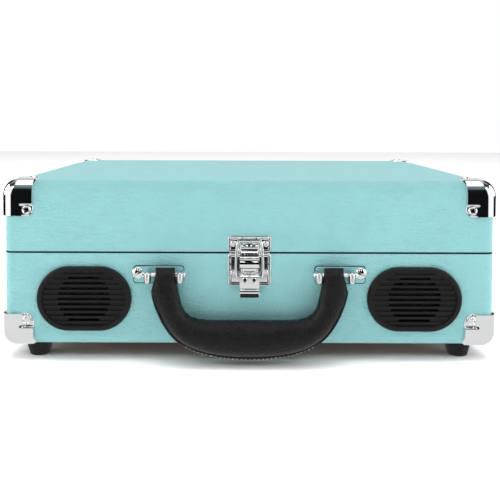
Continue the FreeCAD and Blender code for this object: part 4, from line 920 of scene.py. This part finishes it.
def make_guards():
    lid = Build()
    shape = guard_mesh(GUARD_WIDTH, GUARD_DROP, UPRIGHT, LID_EDGE, (11.5, 17.0, 12.6), 1.0, 0.5, None)
    place_guards(lid, shape, TOP_MM, -1)
    lid.done("lid_corner_guards", "lid", "chrome", ("lid_corners",), 50)
    base = Build()
    shape = guard_mesh(GUARD_WIDTH, GUARD_RISE, UPRIGHT, BASE_EDGE, (11.0, 13.6, None), 1.0, 0.2, 8.0)
    place_guards(base, shape, BASE_MM, 1)
    base.done("base_corner_guards", "case", "chrome", ("base_corners",), 50)


# ---------------------------------------------------------------- carrying handle

# Half outlines of the grip seen from the front, as (x, z), from the middle to the top of the arm.
GRIP_OUTER = [(0, 4.7), (9, 5.0), (17.6, 5.7), (29.5, 7.6), (41.4, 11.4), (49.8, 16.0),
              (56.2, 21.6), (62.6, 30.4), (67.4, 40.6), (69.9, 48.5), (70.6, 54.5), (69.9, 59.5),
              (68.6, 64), (68.4, 70.6)]
GRIP_INNER = [(0, 33.4), (12, 33.3), (23.5, 33.2), (34, 33.7), (40.5, 35.1), (45.2, 38.0),
              (48.0, 42.2), (49.7, 48), (51, 54), (52, 59.5), (52.4, 64), (52.8, 70.6)]
# Along the handle, by the share from its middle to its end.
HALF_DEPTH = [(0.0, 9.0), (0.38, 8.8), (0.62, 7.4), (0.8, 6.2), (0.9, 5.0), (1.0, 4.6)]
WELT_WIDTH = [(0.0, 2.3), (0.72, 1.8), (0.84, 0.5), (1.0, 0.1)]
ROUNDNESS = [(0.0, 0.96), (0.7, 0.92), (0.88, 0.75), (0.93, 0.5), (1.0, 0.5)]
WELT_END = 0.86
STITCH_END = 0.42


def curve_through(points, count):
    """Points evenly along a smooth curve through the given ones."""
    points = [Vector((x, 0, z)) for x, z in points]
    dense = []
    for index in range(len(points) - 1):
        before = points[max(index - 1, 0)]
        first, second = points[index], points[index + 1]
        after = points[min(index + 2, len(points) - 1)]
        for step in range(12):
            t = step / 12
            dense.append(0.5 * (2 * first + (second - before) * t
                                + (2 * before - 5 * first + 4 * second - after) * t * t
                                + (3 * first - before - 3 * second + after) * t ** 3))
    dense.append(points[-1])
    lengths = [0.0]
    for first, second in zip(dense, dense[1:]):
        lengths.append(lengths[-1] + (second - first).length)
    out = []
    place = 0
    for index in range(count + 1):
        wanted = lengths[-1] * index / count
        while place < len(dense) - 2 and lengths[place + 1] < wanted:
            place += 1
        share = (wanted - lengths[place]) / max(lengths[place + 1] - lengths[place], 1e-9)
        out.append(dense[place].lerp(dense[place + 1], clamp(share)))
    return out


def grip_stations(count=110):
    """Pairs of outer and inner points along the whole handle, with the share from its middle."""
    outer = curve_through(GRIP_OUTER, count)
    inner = curve_through(GRIP_INNER, count)
    right = [(o, i, index / count) for index, (o, i) in enumerate(zip(outer, inner))]
    flip = Matrix.Diagonal((-1, 1, 1))
    left = [(flip @ o, flip @ i, share) for o, i, share in reversed(right[1:])]
    return left + right


def grip_half_depth(z, share):
    """Half the handle's thickness from front to back; its ends are round about the pins."""
    end_radius = 4.75
    half = between(HALF_DEPTH, share)
    if z > PIN_Z:
        half = min(half, math.sqrt(max(end_radius ** 2 - (z - PIN_Z) ** 2, 0.5)))
    return half


def make_handle():
    """The padded grip, lofted along both arms, with a welt and stitches on its outer edge."""
    body = Build()
    welt = Build()
    thread = Build()
    rings = []
    welt_rings = []
    edge_path = []
    count = 44
    for outer, inner, share in grip_stations():
        out = (outer - inner).normalized()
        welt_width = between(WELT_WIDTH, share)
        top = outer - out * welt_width
        middle = (top + inner) / 2
        half_width = (top - inner).length / 2
        depth = grip_half_depth(middle.z, share)
        sleeve = smooth((middle.z - 58.6) / 0.8)
        half_width -= 0.5 * sleeve
        strap = smooth((middle.z - 66.0) / 0.5)
        half_width -= 0.35 * strap
        depth -= 0.6 * strap
        y = PIN_Y - 2 * smooth((0.85 - share) / 0.5)
        crease = math.exp(-((share - 0.49) / 0.11) ** 2)
        power = between(ROUNDNESS, share)
        ring = []
        for step in range(count):
            angle = math.tau * step / count
            cos, sin = math.cos(angle), math.sin(angle)
            u = math.copysign(abs(cos) ** power, cos)
            v = math.copysign(abs(sin) ** power, sin)
            ripple = math.sin(share * 190 + 2.5 * math.sin(angle * 2)) * 0.5
            ripple += math.sin(share * 83 + angle * 3 + middle.x * 0.02) * 0.5
            inward = clamp(-cos * 1.2 + 0.25)
            dent = 1 - 0.035 * crease * inward * ripple
            ring.append(Vector((middle.x, y, middle.z)) + out * (half_width * u * dent)
                        + Vector((0, depth * v * dent, 0)))
        rings.append(ring)
        sunk = 2.5
        base = Vector((top.x, y, top.z)) - out * sunk
        reach = welt_width + sunk
        half = 1.5
        section = ((0, -half), (reach - 0.6, -half), (reach, -half + 0.6), (reach, half - 0.6),
                   (reach - 0.6, half), (0, half))
        if share < WELT_END:
            welt_rings.append([base + out * u + Vector((0, v, 0)) for u, v in section])
            edge_path.append((Vector((outer.x, y - half, outer.z)) - out * 0.75, out, share))
    body.loft(rings)
    welt.loft(welt_rings)
    grip = body.done("handle_padding", "handle", "handle_leather", ("handle_grip", "handle_core"), 60)
    welt.done("handle_welt", "handle", "handle_leather", (), 40)
    pitch, length = 3.1, 2.1
    travelled = 0.0
    stitch = None
    for (here, out, share), (following, _, _) in zip(edge_path, edge_path[1:]):
        travelled += (following - here).length
        if travelled % pitch < length and share < STITCH_END:
            stitch = (stitch or []) + [here]
        elif stitch:
            add_stitch(thread, stitch)
            stitch = None
    thread.done("handle_stitches", "handle", "handle_thread", (), 60)


def add_stitch(build, path):
    """One raised stitch along a short path, sunk at both ends."""
    if len(path) < 2:
        path = [path[0], path[0] + Vector((0.6, 0, 0))]
    lifted = [point + Vector((0, -0.18 * math.sin(math.pi * index / (len(path) - 1)) + 0.1, 0))
              for index, point in enumerate(path)]
    build.tube(lifted, 0.33, 8)


def make_brackets():
    """Two posts on each side that hold the handle's pin, on a covered plate; a black plate a little larger lies
    under the cover as painted shade, a dark edge round it.
    """
    plate_x = 66.2
    for side, label in ((-1, "left"), (1, "right")):
        metal = Build()
        for middle in (49.7, 73.2):
            metal.plate((side * middle, FRONT_MM, PIN_Z - 2.0), "-Y", 2.5, 4.5, 2.4,
                        [(0, 0.5), (0, 10.8), (0.3, 11.8), (0.9, 12.6), (1.8, 13.0)])
        for start, stop in ((45.6, 48), (75.0, 78.0)):
            low, high = sorted((side * start, side * stop))
            metal.turn((low, PIN_Y, PIN_Z), "+X",
                       [(1.2, 0), (1.9, 0.35), (2.2, 1.0), (1.9, high - low - 0.4),
                        (1.2, high - low)], 24)
        metal.turn((side * 61 - 9.5, PIN_Y, PIN_Z), "+X", [(1.6, 0), (1.6, 19)], 24)
        pins = ("handle_pins",) if side < 0 else ()
        metal.done(f"handle_lugs_{label}", "case", "chrome", (f"handle_bracket_{label}",) + pins, 40)
        cover = Build()
        cover.plate((side * plate_x, FRONT_MM, PIN_Z - 1.6), "-Y", 18.2, 5.9, 2.2,
                    [(0, 0.2), (0, 1.0), (0.25, 1.35), (0.8, 1.5)])
        cover.done(f"bracket_plate_{label}", "case", "leatherette", (), 40)
        # painted shade: a slightly larger black rubber plate under the cover shows as a dark outline round it
        edge = Build()
        edge.plate((side * plate_x, FRONT_MM, PIN_Z - 1.7), "-Y", 18.7, 6.5, 2.4,
                   [(0, -0.05), (0, 0.5)])
        edge.done(f"bracket_shade_rim_{label}", "case", "foot_rubber", (), 40)


# ---------------------------------------------------------------- draw latch

# Stamped plates have a raised rim round a sunk field: (inset, height) from back to front.
STAMPED = [(0, 0), (0, 0.6), (0.3, 1.05), (0.8, 1.25), (1.5, 1.2), (2.3, 0.7), (2.9, 0.6)]
PLATE_HALF = 15.9


def make_latch():
    """The latch's base plate with its post, the hooked plate on the lid, the lever and the wire."""
    front = FRONT_MM
    pivot_y = JOINTS["latch_throw"]["pos_m"][1] / MM
    plate = Build()
    low, high = 55.4, SEAM_MM - 0.15
    plate.plate((0, front, (low + high) / 2), "-Y", PLATE_HALF, (high - low) / 2, 2.6, STAMPED)
    plate.turn((-3, pivot_y, LATCH_Z), "+X",
               [(0.6, 0), (2.0, 0), (2.2, 0.2), (2.2, 5.8), (2.0, 6), (0.6, 6)], 24)
    plate.profile([(front - 0.5, LATCH_Z - 2.2), (pivot_y, LATCH_Z - 2.2), (pivot_y, LATCH_Z - 0.6),
                   (front - 0.5, LATCH_Z + 0.2)], -2.9, 2.9, 0.2)
    plate.turn((-7.1, pivot_y, LATCH_Z), "+X", [(1.0, 0), (1.0, 14.2)], 20)
    plate.done("latch_base_plate", "case", "chrome", ("latch_plate",), 40)

    keeper = Build()
    low, high = SEAM_MM + 0.15, 92.4
    keeper.plate((0, front, (low + high) / 2), "-Y", PLATE_HALF, (high - low) / 2, 2.2, STAMPED)
    # The hook is a pressed box, whose top edge holds the wire, with a curled lower lip.
    hook = [(front - 0.6, 87.0), (front - 3.0, 86.9), (front - 4.9, 86.2), (front - 5.2, 85.4),
            (front - 3.6, 84.6), (front - 3.0, 83.4), (front - 3.0, 82.2), (front - 4.6, 81.4),
            (front - 5.1, 80.8), (front - 4.6, 80.2), (front - 0.6, 80.5)]
    keeper.profile(hook, -6.3, 6.3, 0.7)
    for side in (-1, 1):
        keeper.plate((side * 7.0, front - 0.6, 83.6), "-Y", 1.0, 3.3, 0.9,
                     [(0, 0), (0, 2.6), (0.3, 3.3), (0.8, 3.5)])
    keeper.done("latch_lid_plate", "lid", "chrome", ("latch_keeper",), 40)

    make_lever(pivot_y)
    bail = Build()
    wire_y = pivot_y - 0.3
    half_wire = [(5.9, pivot_y, WIRE_Z), (8.9, pivot_y, WIRE_Z - 0.4), (10.0, wire_y, 65.5),
                 (9.7, wire_y, 76), (9.2, wire_y, 84), (8.6, wire_y, 88.2)]
    points = [(-x, y, z) for x, y, z in half_wire] + half_wire[::-1]
    bail.tube(round_path(points, 2.8, 8), 0.95, 16)
    bail.done("latch_wire", "latch_bail", "chrome", ("latch_bail",), 60)


def make_lever(pivot_y):
    """The thumb lever: a bent sheet with a cupped middle, two eyelets and a black tip; black discs in the eyelets
    are painted shade that shows their holes dark.
    """
    sheet = FRONT_MM - 6.2
    half = 7.1
    eye_x, eye_z = 3.3, 61.3
    # Down the front of the sheet as (distance out, height), then back up behind it.
    face = [(0.4, 78.2), (1.4, 77.4), (1.4, 76.4), (0.1, 75.8), (0.0, 75.0), (0.3, 74.4), (0.3, 70.2),
            (-0.2, 69.6), (-2.4, 68.8), (-2.6, 66.4), (-1.0, 65.0), (-0.2, 64.0), (0.5, 63.4),
            (0.5, 54.6), (1.0, 53.8), (1.9, 53.5), (2.0, 52.8), (1.2, 52.4), (0.8, 48.6)]
    behind = [(-0.3, 48.6), (0.0, 52.6), (-0.6, 53.8), (-0.6, 62.6), (-2.2, 64.0), (-3.7, 66.0),
              (-3.5, 69.6), (-1.0, 70.8), (-0.8, 74.0), (-0.4, 77.0)]
    lever = Build()
    lever.profile([(sheet - out, z) for out, z in face + behind], -half, half, 0.3)
    # The cup's rounded floor shows as a curved lip in the sunken part.
    cup = []
    for step in range(13):
        angle = math.pi * (step / 12 - 0.5)
        cup.append(Vector((5.2 * math.sin(angle), sheet + 1.6 - 1.3 * math.cos(angle),
                           67.3 - 1.7 * math.cos(angle))))
    lever.tube(cup, 0.55, 10)
    for x in (-eye_x, eye_x):
        lever.turn((x, sheet - 0.5, eye_z), "-Y",
                   [(1.6, -0.1), (1.6, 0.05), (1.45, 0.16), (1.25, 0.05), (1.2, -0.3)], 22)
        lever.plate((x, sheet - 0.5, eye_z - 3.5), "-Y", 1.1, 1.9, 0.3,
                    [(0, -0.1), (0, 0.1), (0.15, 0.2)])
    for side in (-1, 1):
        ends = sorted((side * 3.4, side * half))
        length = ends[1] - ends[0]
        lever.turn((ends[0], pivot_y, LATCH_Z), "+X",
                   [(1.1, 0), (2.1, 0), (2.3, 0.3), (2.3, length - 0.3), (2.1, length),
                    (1.1, length)], 24)
        flange = sorted((side * (half - 0.9), side * half))
        lever.profile([(sheet + 0.2, 75), (sheet + 0.2, 60.4), (pivot_y + 0.4, 60.0),
                       (pivot_y + 1.8, 61.2), (pivot_y + 1.8, 63.6), (pivot_y + 0.6, 66),
                       (pivot_y + 1.0, 75)], *flange, 0.15)
    lever.done("latch_thumb_lever", "latch_lever", "chrome", ("latch_lever",), 40)
    black_plate_and_hole_shade = Build()
    black_plate_and_hole_shade.plate((0, sheet - 0.75, 50.4), "-Y", 6.8, 1.85, 0.4, [(0, -0.4), (0, 0.2), (0.2, 0.35)])
    # painted shade: black discs fill the eyelets so that their holes read dark
    for x in (-eye_x, eye_x):
        black_plate_and_hole_shade.turn((x, sheet - 0.5, eye_z), "-Y", [(1.35, -0.2), (1.35, 0.08), (1.1, 0.12)], 20)
    black_plate_and_hole_shade.done("latch_lever_black_plate_and_hole_shade", "latch_lever", "black_plastic", (), 40)


def paint_nodes():
    """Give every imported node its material, shaded smooth between its sharp edges."""
    for entry in frame["record"]["subparts"]:
        thing = NODES[entry["node"]]
        paint(thing, SURFACES[entry["material_slot"]])
        for face in thing.data.polygons:
            face.use_smooth = True
        thing.data.set_sharp_from_angle(angle=math.radians(28))


make_camera()
make_stage()
paint_nodes()
make_screws()
make_seam_shade_strip()
make_guards()
make_handle()
make_brackets()
make_latch()
